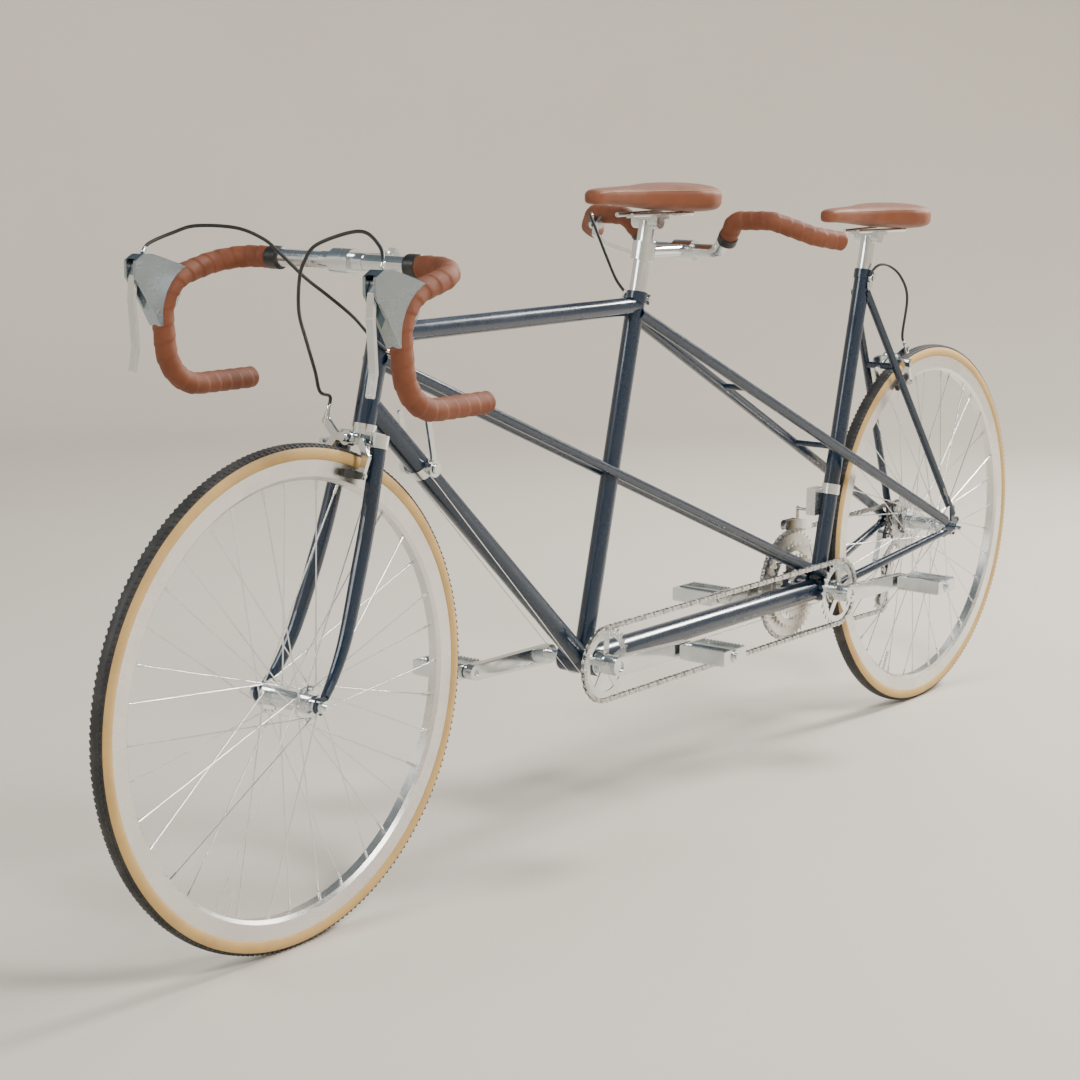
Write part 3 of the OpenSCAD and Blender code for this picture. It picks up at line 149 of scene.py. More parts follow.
def lamp(name, place_at, aim, size, power, colour):
    light = bpy.data.lights.new(name, "AREA")
    light.shape, light.size, light.energy, light.color = "DISK", size, power, colour
    hung = bpy.data.objects.new(name, light)
    hung.location = place_at
    hung.rotation_euler = (Vector(aim) - Vector(place_at)).to_track_quat("-Z", "Y").to_euler()
    bpy.context.scene.collection.objects.link(hung)


lamp("key_lamp", (0.6, 3.6, 4.0), (0, 0, 0.4), 1.5, 230, (1.0, 0.96, 0.90))
lamp("side_lamp", (4.0, -1.4, 2.8), (0.2, 0, 0.6), 1.8, 75, (0.86, 0.95, 1.0))
lamp("top_lamp", (-1.8, -0.6, 4.4), (-0.2, 0, 0.2), 2.4, 60, (1.0, 0.98, 0.95))
lamp("back_lamp", (-3.8, 0.9, 3.0), (0, 0, 0.3), 1.1, 300, (1.0, 0.96, 0.90))
sky = bpy.data.worlds.new("studio_air")
bpy.context.scene.world = sky
sky.use_nodes = True
sky.node_tree.nodes["Background"].inputs["Color"].default_value = (0.72, 0.86, 0.95, 1)
sky.node_tree.nodes["Background"].inputs["Strength"].default_value = 0.22

# ---------------------------------------------------------------------------------------------
# Frame and fork blades. Lugless steel tubes brazed together and sprayed dark petrol blue, with a clear
# lacquer over the colour. The lacquer has a faint orange-peel and hair-fine polishing marks.


def effect(name, inputs, outputs):
    group = bpy.data.node_groups.new(name, "ShaderNodeTree")
    for socket, value in inputs.items():
        made = group.interface.new_socket(socket, in_out="INPUT", socket_type="NodeSocketFloat")
        made.default_value = value
    for socket, kind in outputs.items():
        group.interface.new_socket(socket, in_out="OUTPUT", socket_type="NodeSocket" + kind)
    return group, group.nodes.new("NodeGroupInput"), group.nodes.new("NodeGroupOutput")


polish_marks, given, told = effect("polish_marks", {"Scale": 60.0, "Low": 0.1, "High": 0.3},
                                   {"Roughness": "Float", "Height": "Float"})
place = add_node(polish_marks, "ShaderNodeTexCoord")
stretch = add_node(polish_marks, "ShaderNodeMapping", {"Vector": place.outputs["Object"], "Scale": (1.0, 6.0, 1.6)})
hair = add_node(polish_marks, "ShaderNodeTexNoise", {"Vector": stretch.outputs["Vector"], "Scale": given.outputs["Scale"],
                                                     "Detail": 6.0, "Roughness": 0.7})
cloud = add_node(polish_marks, "ShaderNodeTexNoise", {"Vector": place.outputs["Object"], "Scale": 9.0, "Detail": 2.0})
mean = add_node(polish_marks, "ShaderNodeMath", {0: hair.outputs["Fac"], 1: cloud.outputs["Fac"]}, operation="MULTIPLY")
spread = add_node(polish_marks, "ShaderNodeMapRange", {"Value": mean.outputs[0], "From Min": 0.1, "From Max": 0.42,
                                                       "To Min": given.outputs["Low"], "To Max": given.outputs["High"]})
polish_marks.links.new(spread.outputs["Result"], told.inputs["Roughness"])
polish_marks.links.new(hair.outputs["Fac"], told.inputs["Height"])

road_dust, given, told = effect("road_dust", {"Scale": 14.0, "Amount": 0.3}, {"Mask": "Float"})
place = add_node(road_dust, "ShaderNodeTexCoord")
coarse = add_node(road_dust, "ShaderNodeTexNoise", {"Vector": place.outputs["Object"], "Scale": given.outputs["Scale"],
                                                    "Detail": 5.0, "Roughness": 0.65})
keep = add_node(road_dust, "ShaderNodeMapRange", {"Value": coarse.outputs["Fac"], "From Min": 0.45, "From Max": 0.75,
                                                  "To Min": 0.0, "To Max": given.outputs["Amount"]})
road_dust.links.new(keep.outputs["Result"], told.inputs["Mask"])


def dress(finish, base, dusty, scale, amount, marks=None, bump=0.0, bump_scale=None):
    """Colour from base to dusty by the dust, roughness and a fine bump from the polish marks."""
    tree = finish.node_tree
    shader = tree.nodes["Principled BSDF"]
    dust = add_node(tree, "ShaderNodeGroup", node_tree=road_dust)
    dust.inputs["Scale"].default_value, dust.inputs["Amount"].default_value = scale, amount
    mix = add_node(tree, "ShaderNodeMix", {"Factor": dust.outputs["Mask"]}, data_type="RGBA")
    mix.inputs[6].default_value, mix.inputs[7].default_value = (*base, 1), (*dusty, 1)
    tree.links.new(mix.outputs[2], shader.inputs["Base Color"])
    if marks:
        polish = add_node(tree, "ShaderNodeGroup", node_tree=polish_marks)
        for socket, value in zip(("Scale", "Low", "High"), marks):
            polish.inputs[socket].default_value = value
        tree.links.new(polish.outputs["Roughness"], shader.inputs["Roughness"])
        raised = add_node(tree, "ShaderNodeBump", {"Height": polish.outputs["Height"], "Strength": bump,
                                                   "Distance": 0.0004})
        tree.links.new(raised.outputs["Normal"], shader.inputs["Normal"])


frame_blue = new_finish("frame_blue_lacquer", (0.0012, 0.018, 0.055), 0.3, 0.0, Coat_Weight=0.45, Coat_Roughness=0.06,
                        Specular_IOR_Level=0.5)
dress(frame_blue, (0.0008, 0.0135, 0.036), (0.0012, 0.018, 0.046), 7.0, 0.4, (45.0, 0.20, 0.36), 0.04)
chrome = new_finish("chromed_steel", (0.80, 0.83, 0.84), 0.12, 1.0)
dress(chrome, (0.78, 0.82, 0.84), (0.58, 0.60, 0.60), 16.0, 0.6, (70.0, 0.06, 0.22), 0.06)
painted = ["head_tube", "top_tube", "down_tube", "captain_seat_tube", "boom_tube", "stoker_seat_tube",
           "lower_laterals", "upper_laterals", "chain_stays", "seat_stays", "bracket_shells", "fork_blades"]
nodes = frame["nodes"]
for name in painted:
    nodes[name].data.materials.clear()
    nodes[name].data.materials.append(frame_blue)


def second_finish(name, finish, where):
    """Another finish on the faces of a CAD node for which where(centre in mm) is true."""
    mesh = nodes[name].data
    mesh.materials.append(finish)
    for face in mesh.polygons:
        centre = sum((mesh.vertices[v].co for v in face.vertices), Vector()) * (1000 / len(face.vertices))
        if where(centre):
            face.material_index = len(mesh.materials) - 1


def behind_tube(foot_x):
    return lambda p: p.z > 808 and abs(p.y) > 8.2 and p.x < foot_x - (p.z - 274) * 0.2345 - 14


second_finish("captain_seat_tube", chrome, behind_tube(216))
second_finish("stoker_seat_tube", chrome, behind_tube(-482.5))
second_finish("seat_stays", chrome, lambda p: abs(p.y) < 9 and 640 < p.z < 672 and not (
    abs(math.hypot(p.x + 688.3, p.z - 655) - 6) < 0.6))

# ---------------------------------------------------------------------------------------------
# Bright metal. Forgings and turned parts of polished aluminium: stem, bar, cranks, hubs, rims, levers and brakes;
# chromed steel for the fork crown; steel for what carries the chain, which picks up a film of grey oil.
alloy = new_finish("polished_aluminium", (0.86, 0.87, 0.86), 0.22, 1.0)
dress(alloy, (0.74, 0.77, 0.78), (0.54, 0.56, 0.57), 13.0, 0.6, (55.0, 0.10, 0.30), 0.08)
brushed = new_finish("brushed_aluminium", (0.88, 0.87, 0.84), 0.36, 1.0)
dress(brushed, (0.80, 0.79, 0.76), (0.62, 0.61, 0.59), 12.0, 0.6, (90.0, 0.22, 0.42), 0.15)
steel = new_finish("oiled_steel", (0.55, 0.55, 0.54), 0.3, 1.0)
dress(steel, (0.60, 0.60, 0.59), (0.20, 0.19, 0.17), 60.0, 0.85, (80.0, 0.18, 0.45), 0.1)
spoke_steel = new_finish("stainless_spokes", (0.83, 0.84, 0.84), 0.2, 1.0)
dress(spoke_steel, (0.82, 0.84, 0.85), (0.55, 0.56, 0.56), 40.0, 0.5, (120.0, 0.12, 0.3), 0.03)
grey_alloy = new_finish("grey_aluminium", (0.40, 0.44, 0.47), 0.3, 1.0)
dress(grey_alloy, (0.36, 0.42, 0.46), (0.26, 0.30, 0.33), 14.0, 0.6, (60.0, 0.16, 0.36), 0.08)
black_rubber = new_finish("black_rubber", (0.02, 0.02, 0.021), 0.62)
dress(black_rubber, (0.018, 0.018, 0.019), (0.085, 0.078, 0.068), 22.0, 0.55, (140.0, 0.5, 0.75), 0.3)

metals = {
    alloy: ["stem", "handlebar", "stoker_handlebar", "captain_crank", "stoker_crank", "left_brake_lever",
            "right_brake_lever", "stoker_brake_lever", "front_arm_left", "front_arm_right", "rear_arm_left",
            "rear_arm_right", "rear_derailleur", "front_derailleur", "left_shifter", "right_shifter", "cable_fittings",
            "captain_seatpost", "stoker_seatpost", "front_hub", "rear_hub"],
    brushed: ["front_rim", "rear_rim", "drive_chainrings"],
    grey_alloy: ["lever_hoods"],
    chrome: ["bearing_cups", "fork_crown", "front_axle", "rear_axle"],
    steel: ["freewheel", "derailleur_cage"],
    spoke_steel: ["front_spokes", "rear_spokes"],
}
for finish, names in metals.items():
    for name in names:
        if name in nodes:
            nodes[name].data.materials.clear()
            nodes[name].data.materials.append(finish)
front_axle_at, rear_axle_at = Vector((864, 0, 340)), Vector((-864, 0, 340))


def on_pad(axle):
    return lambda p: math.hypot(p.x - axle.x, p.z - axle.z) < 321 and 13 < abs(p.y) < 21.2


for name in ("front_arm_left", "front_arm_right"):
    second_finish(name, black_rubber, on_pad(front_axle_at))
for name in ("rear_arm_left", "rear_arm_right"):
    second_finish(name, black_rubber, on_pad(rear_axle_at))

# ---------------------------------------------------------------------------------------------
# Tyres. Narrow road tyres with honey-coloured skin walls and a black tread cap. The casing is a moulded
# ring; the cap carries a smooth centre rib and two rows of slanted blocks on each side of it.
skin_wall = new_finish("skin_wall", (0.52, 0.34, 0.125), 0.66)
dress(skin_wall, (0.53, 0.345, 0.125), (0.40, 0.25, 0.10), 18.0, 0.7, (160.0, 0.55, 0.75), 0.25)
wheel_radius, section_radius = 340, 13.5
ring_radius = wheel_radius - section_radius


def turned(name, outline, centre, finish, steps=144, smooth=True):
    """A ring turned about an axle along Y: outline is a closed row of (radius, y) in mm."""
    verts = [((centre.x + r * math.sin(2 * math.pi * k / steps)) / 1000, (centre.y + y) / 1000,
              (centre.z + r * math.cos(2 * math.pi * k / steps)) / 1000) for k in range(steps) for r, y in outline]
    n = len(outline)
    faces = [(k * n + i, k * n + (i + 1) % n, (k + 1) % steps * n + (i + 1) % n, (k + 1) % steps * n + i)
             for k in range(steps) for i in range(n)]
    return piece_from(name, verts, faces, finish, smooth)


def section(low, high, radius, count):
    return [(ring_radius + radius * math.cos(math.radians(low + (high - low) * i / count)),
             radius * math.sin(math.radians(low + (high - low) * i / count))) for i in range(count + 1)]


def flow_tree(name, sockets):
    """An empty geometry tree with named inputs. It returns the tree, its input node and its output node."""
    made = bpy.data.node_groups.new(name, "GeometryNodeTree")
    made.interface.new_socket("Geometry", in_out="INPUT", socket_type="NodeSocketGeometry")
    for socket, (kind, value) in sockets.items():
        item = made.interface.new_socket(socket, in_out="INPUT", socket_type="NodeSocket" + kind)
        if value is not None:
            item.default_value = value
    made.interface.new_socket("Geometry", in_out="OUTPUT", socket_type="NodeSocketGeometry")
    return made, made.nodes.new("NodeGroupInput"), made.nodes.new("NodeGroupOutput")


def close_tree(made, geometry, finish, out):
    real = add_node(made, "GeometryNodeRealizeInstances", {"Geometry": geometry})
    coated = add_node(made, "GeometryNodeSetMaterial", {"Geometry": real.outputs[0]})
    coated.inputs["Material"].default_value = finish
    made.links.new(coated.outputs[0], out.inputs[0])


def grown(name, line, made, closed=True, **values):
    """The tree's result along a row of points in mm, as a plain mesh."""
    guide = bpy.data.meshes.new(name + "_guide")
    joins = [(i, i + 1) for i in range(len(line) - 1)] + ([(len(line) - 1, 0)] if closed else [])
    guide.from_pydata([tuple(Vector(p) / 1000) for p in line], joins, [])
    holder = bpy.data.objects.new(name + "_guide", guide)
    bpy.context.scene.collection.objects.link(holder)
    flow = holder.modifiers.new("flow", "NODES")
    flow.node_group = made
    for item in made.interface.items_tree:
        if item.in_out == "INPUT" and item.name.replace(" ", "_") in values:
            flow[item.identifier] = values[item.name.replace(" ", "_")]
    graph = bpy.context.evaluated_depsgraph_get()
    mesh = bpy.data.meshes.new_from_object(holder.evaluated_get(graph), depsgraph=graph)
    bpy.data.objects.remove(holder)
    piece = bpy.data.objects.new(name, mesh)
    bpy.context.scene.collection.objects.link(piece)
    return piece


tread, given, out = flow_tree("tread_blocks", {
    "Blocks": ("Int", 210), "Block Size": ("Vector", (0.0052, 0.0030, 0.0012)), "Slant": ("Float", 0.6)})
path = add_node(tread, "GeometryNodeMeshToCurve", {"Mesh": given.outputs["Geometry"]})
spaced = add_node(tread, "GeometryNodeResampleCurve", {"Curve": path.outputs[0], "Count": given.outputs["Blocks"]})
points = add_node(tread, "GeometryNodeCurveToPoints", {"Curve": spaced.outputs[0]}, mode="EVALUATED")
lie = add_node(tread, "FunctionNodeAlignRotationToVector", {"Vector": points.outputs["Tangent"]}, axis="X",
               pivot_axis="Y")
turn = add_node(tread, "ShaderNodeCombineXYZ", {"Z": given.outputs["Slant"]})
slanted = add_node(tread, "FunctionNodeRotateRotation", {"Rotation": lie.outputs[0], "Rotate By": turn.outputs[0]},
                   rotation_space="LOCAL")
block = add_node(tread, "GeometryNodeMeshCube", {"Size": given.outputs["Block Size"]})
placed = add_node(tread, "GeometryNodeInstanceOnPoints", {"Points": points.outputs["Points"],
                  "Instance": block.outputs[0], "Rotation": slanted.outputs[0]})
close_tree(tread, placed.outputs[0], black_rubber, out)

for end, axle in (("front", front_axle_at), ("rear", rear_axle_at)):
    body = nodes[end + "_tyre"]["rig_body"]
    walls = section(-124, 124, section_radius - 0.2, 40) + section(124, -124, section_radius - 2, 24)
    casing = turned(end + "_tyre_casing", walls, axle, skin_wall)
    cap = turned(end + "_tyre_cap", section(-52, 52, section_radius - 0.05, 22) + section(50, -50, section_radius - 1, 8),
                 axle, black_rubber)
    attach(casing, body)
    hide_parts(end + "_tyre")
    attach(cap, body)
    for row, (angle, slant) in enumerate(((-40, 0.6), (-24, -0.6), (24, 0.6), (40, -0.6))):
        lean = math.radians(angle)
        r = ring_radius + (section_radius - 0.35) * math.cos(lean)
        y = (section_radius - 0.35) * math.sin(lean)
        ring = [(axle.x + r * math.sin(k * math.pi / 90), y, axle.z + r * math.cos(k * math.pi / 90))
                for k in range(180)]
        blocks = grown(f"{end}_tread_row_{row + 1}", ring, tread, Slant=slant, Blocks=230)
        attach(blocks, body)

# ---------------------------------------------------------------------------------------------
# Chains. Half-inch roller chain: punched side plates shaped like a figure eight, outer and inner by
# turns, riveted over pins with hardened rollers. One joins the two cranks, one drives the rear wheel.
pitch = 12.7


def lap(wheels):
    """The chain's line in mm round wheels given as (x, z, teeth, side), at height y."""
    def reach(a, b):
        dx, dz = b[0] - a[0], b[1] - a[1]
        return math.atan2(dz, dx) - math.asin((b[3] * b[2] - a[3] * a[2]) * pitch / (2 * math.pi) / math.hypot(dx, dz))
    points = []
    for i, (x, z, teeth, side) in enumerate(wheels):
        start, end = reach(wheels[i - 1], wheels[i]), reach(wheels[i], wheels[(i + 1) % len(wheels)])
        sweep = side * ((side * (end - start)) % (2 * math.pi))
        steps, r = max(2, math.ceil(abs(sweep) / 0.06)), teeth * pitch / (2 * math.pi)
        points += [(x + side * r * math.sin(start + sweep * k / steps), z - side * r * math.cos(start + sweep * k / steps))
                   for k in range(steps + 1)]
    return points


def eight(half_width):
    """A side plate as a closed outline in the plane of X and Z, in mm."""
    ends = [(pitch / 2 + half_width * math.cos(a * math.pi / 8), half_width * math.sin(a * math.pi / 8))
            for a in range(-4, 5)]
    return ends + [(0, half_width * 0.72)] + [(-x, z) for x, z in reversed(ends)] + [(0, -half_width * 0.72)]


def plate_pair(name, outline, inner, thick):
    verts, faces, n = [], [], len(outline)
    for side in (-1, 1):
        base = len(verts)
        for y in (inner, inner + thick):
            verts += [(x / 1000, side * y / 1000, z / 1000) for x, z in outline]
        faces += [tuple(range(base, base + n)), tuple(range(base + n, base + 2 * n))]
        faces += [(base + i, base + (i + 1) % n, base + n + (i + 1) % n, base + n + i) for i in range(n)]
    return piece_from(name, verts, faces, steel, False)


outer_plates = plate_pair("outer_plates", eight(4.1), 2.75, 0.75)
inner_plates = plate_pair("inner_plates", eight(4.0), 1.9, 0.75)
links, given, out = flow_tree("chain_links", {
    "Links": ("Int", 100), "Outer": ("Object", None), "Inner": ("Object", None), "Roller Radius": ("Float", 0.0039),
    "Pin Length": ("Float", 0.0084)})
path = add_node(links, "GeometryNodeMeshToCurve", {"Mesh": given.outputs["Geometry"]})
twice = add_node(links, "ShaderNodeMath", {0: given.outputs["Links"], 1: 2.0}, operation="MULTIPLY")
spaced = add_node(links, "GeometryNodeResampleCurve", {"Curve": path.outputs[0], "Count": twice.outputs[0]})
points = add_node(links, "GeometryNodeCurveToPoints", {"Curve": spaced.outputs[0]}, mode="EVALUATED")
lie = add_node(links, "FunctionNodeAlignRotationToVector", {"Vector": points.outputs["Tangent"]}, axis="X",
               pivot_axis="Y")
number = add_node(links, "GeometryNodeInputIndex")
fourth = add_node(links, "ShaderNodeMath", {0: number.outputs[0], 1: 4.0}, operation="MODULO")
second = add_node(links, "ShaderNodeMath", {0: number.outputs[0], 1: 2.0}, operation="MODULO")
parts = add_node(links, "GeometryNodeJoinGeometry")
for wanted, source in ((1.0, "Outer"), (3.0, "Inner")):
    chosen = add_node(links, "ShaderNodeMath", {0: fourth.outputs[0], 1: wanted, 2: 0.2}, operation="COMPARE")
    shape = add_node(links, "GeometryNodeObjectInfo", {"Object": given.outputs[source]})
    placed = add_node(links, "GeometryNodeInstanceOnPoints", {
        "Points": points.outputs["Points"], "Selection": chosen.outputs[0], "Instance": shape.outputs["Geometry"],
        "Rotation": lie.outputs[0]})
    links.links.new(placed.outputs[0], parts.inputs[0])
for radius, depth in ((given.outputs["Roller Radius"], 0.0037), (0.0017, given.outputs["Pin Length"])):
    chosen = add_node(links, "ShaderNodeMath", {0: second.outputs[0], 1: 0.0, 2: 0.2}, operation="COMPARE")
    drum = add_node(links, "GeometryNodeMeshCylinder", {"Vertices": 10, "Radius": radius, "Depth": depth})
    across = add_node(links, "GeometryNodeTransform", {"Geometry": drum.outputs["Mesh"],
                                                       "Rotation": (math.pi / 2, 0, 0)})
    placed = add_node(links, "GeometryNodeInstanceOnPoints", {
        "Points": points.outputs["Points"], "Selection": chosen.outputs[0], "Instance": across.outputs[0]})
    links.links.new(placed.outputs[0], parts.inputs[0])
close_tree(links, parts.outputs[0], steel, out)

bracket_height, captain_bracket_x, stoker_bracket_x = 274, 216, -482.5
chain_laps = {
    "timing_chain": (46, [(captain_bracket_x, bracket_height, 28, 1), (stoker_bracket_x, bracket_height, 28, 1)]),
    "drive_chain": (-53, [(stoker_bracket_x, bracket_height, 48, 1), (-864, 340, 17, 1), (-844, 256, 11, -1),
                          (-816.6, 191.26, 11, 1)]),
}
for name, (y, wheels) in chain_laps.items():
    line = [(x, y, z) for x, z in lap(wheels)]
    length = sum((Vector(line[i]) - Vector(line[i - 1])).length for i in range(len(line)))
    count = 2 * round(length / pitch / 2)
    chain = grown(name + "_links", line, links, Links=count, Outer=outer_plates, Inner=inner_plates)
    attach(chain, nodes[name]["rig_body"])
    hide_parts(name)
for spare in (outer_plates, inner_plates):
    bpy.data.objects.remove(spare)

# ---------------------------------------------------------------------------------------------
# Saddles. Brown hide drawn over a padded shell, wide behind and narrow in front, with a piped seam round
# the skirt and a row of pale stitches above it. The covers are shaped section by section.
hide = new_finish("saddle_hide", (0.30, 0.085, 0.03), 0.48, 0.0, Sheen_Weight=0.15, Sheen_Roughness=0.4)
leather_grain, given, told = effect("leather_grain", {"Scale": 900.0, "Wear": 0.4},
                                    {"Height": "Float", "Shade": "Float"})
place = add_node(leather_grain, "ShaderNodeTexCoord")
cells = add_node(leather_grain, "ShaderNodeTexVoronoi", {"Vector": place.outputs["Object"],
                                                         "Scale": given.outputs["Scale"]}, feature="DISTANCE_TO_EDGE")
flats = add_node(leather_grain, "ShaderNodeMapRange", {"Value": cells.outputs["Distance"], "From Max": 0.25})
patches = add_node(leather_grain, "ShaderNodeTexNoise", {"Vector": place.outputs["Object"], "Scale": 24.0, "Detail": 6.0})
worn = add_node(leather_grain, "ShaderNodeMapRange", {"Value": patches.outputs["Fac"], "From Min": 0.4, "From Max": 0.7,
                                                      "To Max": given.outputs["Wear"]})
leather_grain.links.new(flats.outputs["Result"], told.inputs["Height"])
leather_grain.links.new(worn.outputs["Result"], told.inputs["Shade"])


def tan_leather(finish, base, rubbed, scale, wear, low, high, depth):
    tree = finish.node_tree
    shader = tree.nodes["Principled BSDF"]
    grain = add_node(tree, "ShaderNodeGroup", node_tree=leather_grain)
    grain.inputs["Scale"].default_value, grain.inputs["Wear"].default_value = scale, wear
    mix = add_node(tree, "ShaderNodeMix", {"Factor": grain.outputs["Shade"]}, data_type="RGBA")
    mix.inputs[6].default_value, mix.inputs[7].default_value = (*base, 1), (*rubbed, 1)
    tree.links.new(mix.outputs[2], shader.inputs["Base Color"])
    rough = add_node(tree, "ShaderNodeMapRange", {"Value": grain.outputs["Shade"], "To Min": high, "To Max": low})
    tree.links.new(rough.outputs["Result"], shader.inputs["Roughness"])
    pressed = add_node(tree, "ShaderNodeBump", {"Height": grain.outputs["Height"], "Strength": depth,
                                                "Distance": 0.0004})
    tree.links.new(pressed.outputs["Normal"], shader.inputs["Normal"])


tan_leather(hide, (0.165, 0.043, 0.012), (0.23, 0.064, 0.019), 800.0, 0.7, 0.42, 0.60, 0.35)
thread = new_finish("linen_thread", (0.52, 0.33, 0.17), 0.8)
dress(thread, (0.55, 0.35, 0.18), (0.36, 0.21, 0.10), 60.0, 0.8, (300.0, 0.7, 0.9), 0.4)
stitches, given, out = flow_tree("stitches", {"Stitch Pitch": ("Float", 0.005), "Stitch Length": ("Float", 0.0034),
                                              "Thread Radius": ("Float", 0.00055)})
path = add_node(stitches, "GeometryNodeMeshToCurve", {"Mesh": given.outputs["Geometry"]})
spaced = add_node(stitches, "GeometryNodeResampleCurve", {"Curve": path.outputs[0], "Length":
                  given.outputs["Stitch Pitch"]}, mode="LENGTH")
points = add_node(stitches, "GeometryNodeCurveToPoints", {"Curve": spaced.outputs[0]}, mode="EVALUATED")
lie = add_node(stitches, "FunctionNodeAlignRotationToVector", {"Vector": points.outputs["Tangent"]}, axis="Z")
loop = add_node(stitches, "GeometryNodeMeshCylinder", {"Vertices": 6, "Radius": given.outputs["Thread Radius"],
                                                       "Depth": given.outputs["Stitch Length"]})
placed = add_node(stitches, "GeometryNodeInstanceOnPoints", {
    "Points": points.outputs["Points"], "Instance": loop.outputs["Mesh"], "Rotation": lie.outputs[0]})
close_tree(stitches, placed.outputs[0], thread, out)

# how far along, half width, height of the crown and of the skirt's lower edge, in mm from the highest point
saddle_sections = [(0.0, 34, -13, -42), (0.012, 46, -9, -45), (0.04, 60, -5, -46.3), (0.10, 72, -2, -46.3),
                   (0.18, 74.5, -0.8, -46.3), (0.28, 68, -0.6, -44.4), (0.38, 54, -1.2, -41.9), (0.48, 40, -2.4, -39.5),
                   (0.60, 29.5, -3.8, -36.6), (0.75, 23, -4.8, -32.9), (0.88, 19, -5.4, -30.3), (0.955, 16, -6.6, -30.0),
                   (0.985, 12, -9, -28.8), (1.0, 6.5, -13, -26)]


def blend_row(rows, u):
    for low, high in zip(rows, rows[1:]):
        if u <= high[0]:
            t = (u - low[0]) / (high[0] - low[0])
            return [low[i] + (high[i] - low[i]) * t for i in range(1, 4)]
    return list(rows[-1][1:])


def smooth_row(u):
    near = [blend_row(saddle_sections, min(1, max(0, u + d))) for d in (-0.022, -0.011, 0, 0.011, 0.022)]
    return [sum(row[i] for row in near) / 5 for i in range(3)] if 0.04 < u < 0.96 else blend_row(saddle_sections, u)


def on_cover(u, angle, tail, length, top):
    """A point of the cover in mm: angle 0 is the left edge, a quarter turn is the crown."""
    half, crown, hem = smooth_row(u)
    middle = crown - 0.42 * (crown - hem)
    c, s = math.cos(angle), math.sin(angle)
    y = half * math.copysign(abs(c) ** 0.72, c)
    z = middle + ((crown - middle) * s ** 0.8 if s >= 0 else -(middle - hem) * abs(s) ** 0.45)
    sit = 1.6 * math.exp(-((u - 0.2) / 0.1) ** 2) * math.exp(-((abs(y) - 38) / 16) ** 2) if s > 0 else 0
    return (tail + u * length, y, top + z - sit)


for name in ("captain_saddle", "stoker_saddle"):
    low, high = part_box(name)
    tail, length, top = low.x * 1000, (high.x - low.x) * 1000, high.z * 1000
    stations = [0, 0.006, 0.012, 0.025] + [0.04 + 0.92 * k / 46 for k in range(47)] + [0.972, 0.985, 0.993, 1.0]
    around = 44
    verts = [Vector(on_cover(u, 2 * math.pi * k / around, tail, length, top)) / 1000 for u in stations
             for k in range(around)]
    faces = [(i * around + k, i * around + (k + 1) % around, (i + 1) * around + (k + 1) % around, (i + 1) * around + k)
             for i in range(len(stations) - 1) for k in range(around)]
    for i, u in ((0, -0.010), (len(stations) - 1, 1.008)):
        ring = verts[i * around:(i + 1) * around]
        tip = sum(ring, Vector()) / around
        tip.x = (tail + min(0.9995, max(0.0005, u)) * length) / 1000
        verts.append(tip)
        faces += [(len(verts) - 1, i * around + k, i * around + (k + 1) % around) for k in range(around)]
    cover = piece_from(name + "_cover", verts, faces, hide)
    body = nodes[name]["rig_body"]
    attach(cover, body)
    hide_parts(name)
    rise, thread_lift, steps = 0.35, 0.3, 60
    seam_line = [on_cover(0.03 + 0.94 * k / steps, rise, tail, length, top + thread_lift) for k in range(steps + 1)]
    seam_line += [on_cover(0.97 - 0.94 * k / steps, math.pi - rise, tail, length, top + thread_lift)
                  for k in range(steps + 1)]
    seam = grown(name + "_stitches", seam_line, stitches)
    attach(seam, body)

# ---------------------------------------------------------------------------------------------
# Bar wrap, grips and their rings. Brown leather strip wound in overlapping turns over each bar, tucked
# under a black ring at the inner end and plugged at the outer end.
wrap_hide = new_finish("bar_wrap_hide", (0.30, 0.085, 0.03), 0.5)
tan_leather(wrap_hide, (0.155, 0.039, 0.011), (0.22, 0.060, 0.018), 1100.0, 0.75, 0.46, 0.64, 0.4)
ring_black = new_finish("black_ring", (0.012, 0.012, 0.013), 0.35)
dress(ring_black, (0.011, 0.011, 0.012), (0.05, 0.047, 0.043), 30.0, 0.5, (90.0, 0.25, 0.5), 0.1)


def bent(points, radii, steps=14):
    """A row of points in mm with its inner corners rounded."""
    points = [Vector(p) for p in points]
    line = [points[0]]
    for a, b, c, r in zip(points, points[1:], points[2:], radii):
        u, v = (a - b).normalized(), (c - b).normalized()
        half = math.acos(max(-1, min(1, u.dot(v)))) / 2
        m = b + (u + v).normalized() * (r / math.sin(half))
        p, q, span = b + u * (r / math.tan(half)) - m, b + v * (r / math.tan(half)) - m, math.pi - 2 * half
        line += [m + (p * math.sin(span * (1 - i / steps)) + q * math.sin(span * i / steps)) / math.sin(span)
                 for i in range(steps + 1)]
    return line + [points[-1]]


def through(points, steps=8):
    """A smooth row of points in mm through each of the given ones."""
    points = [Vector(p) for p in points]
    points = [points[0] * 2 - points[1]] + points + [points[-1] * 2 - points[-2]]
    line = [points[1]]
    for a, b, c, d in zip(points, points[1:], points[2:], points[3:]):
        for k in range(1, steps + 1):
            t = k / steps
            line.append(0.5 * (2 * b + (c - a) * t + (2 * a - 5 * b + 4 * c - d) * t * t
                               + (3 * b - a - 3 * c + d) * t ** 3))
    return line


def even(line, step):
    lengths = [0]
    for a, b in zip(line, line[1:]):
        lengths.append(lengths[-1] + (b - a).length)
    count, out_line, j = max(2, round(lengths[-1] / step)), [], 0
    for i in range(count + 1):
        s = lengths[-1] * i / count
        while j < len(lengths) - 2 and lengths[j + 1] < s:
            j += 1
        out_line.append(line[j].lerp(line[j + 1], min(1, (s - lengths[j]) / (lengths[j + 1] - lengths[j]))))
    return out_line


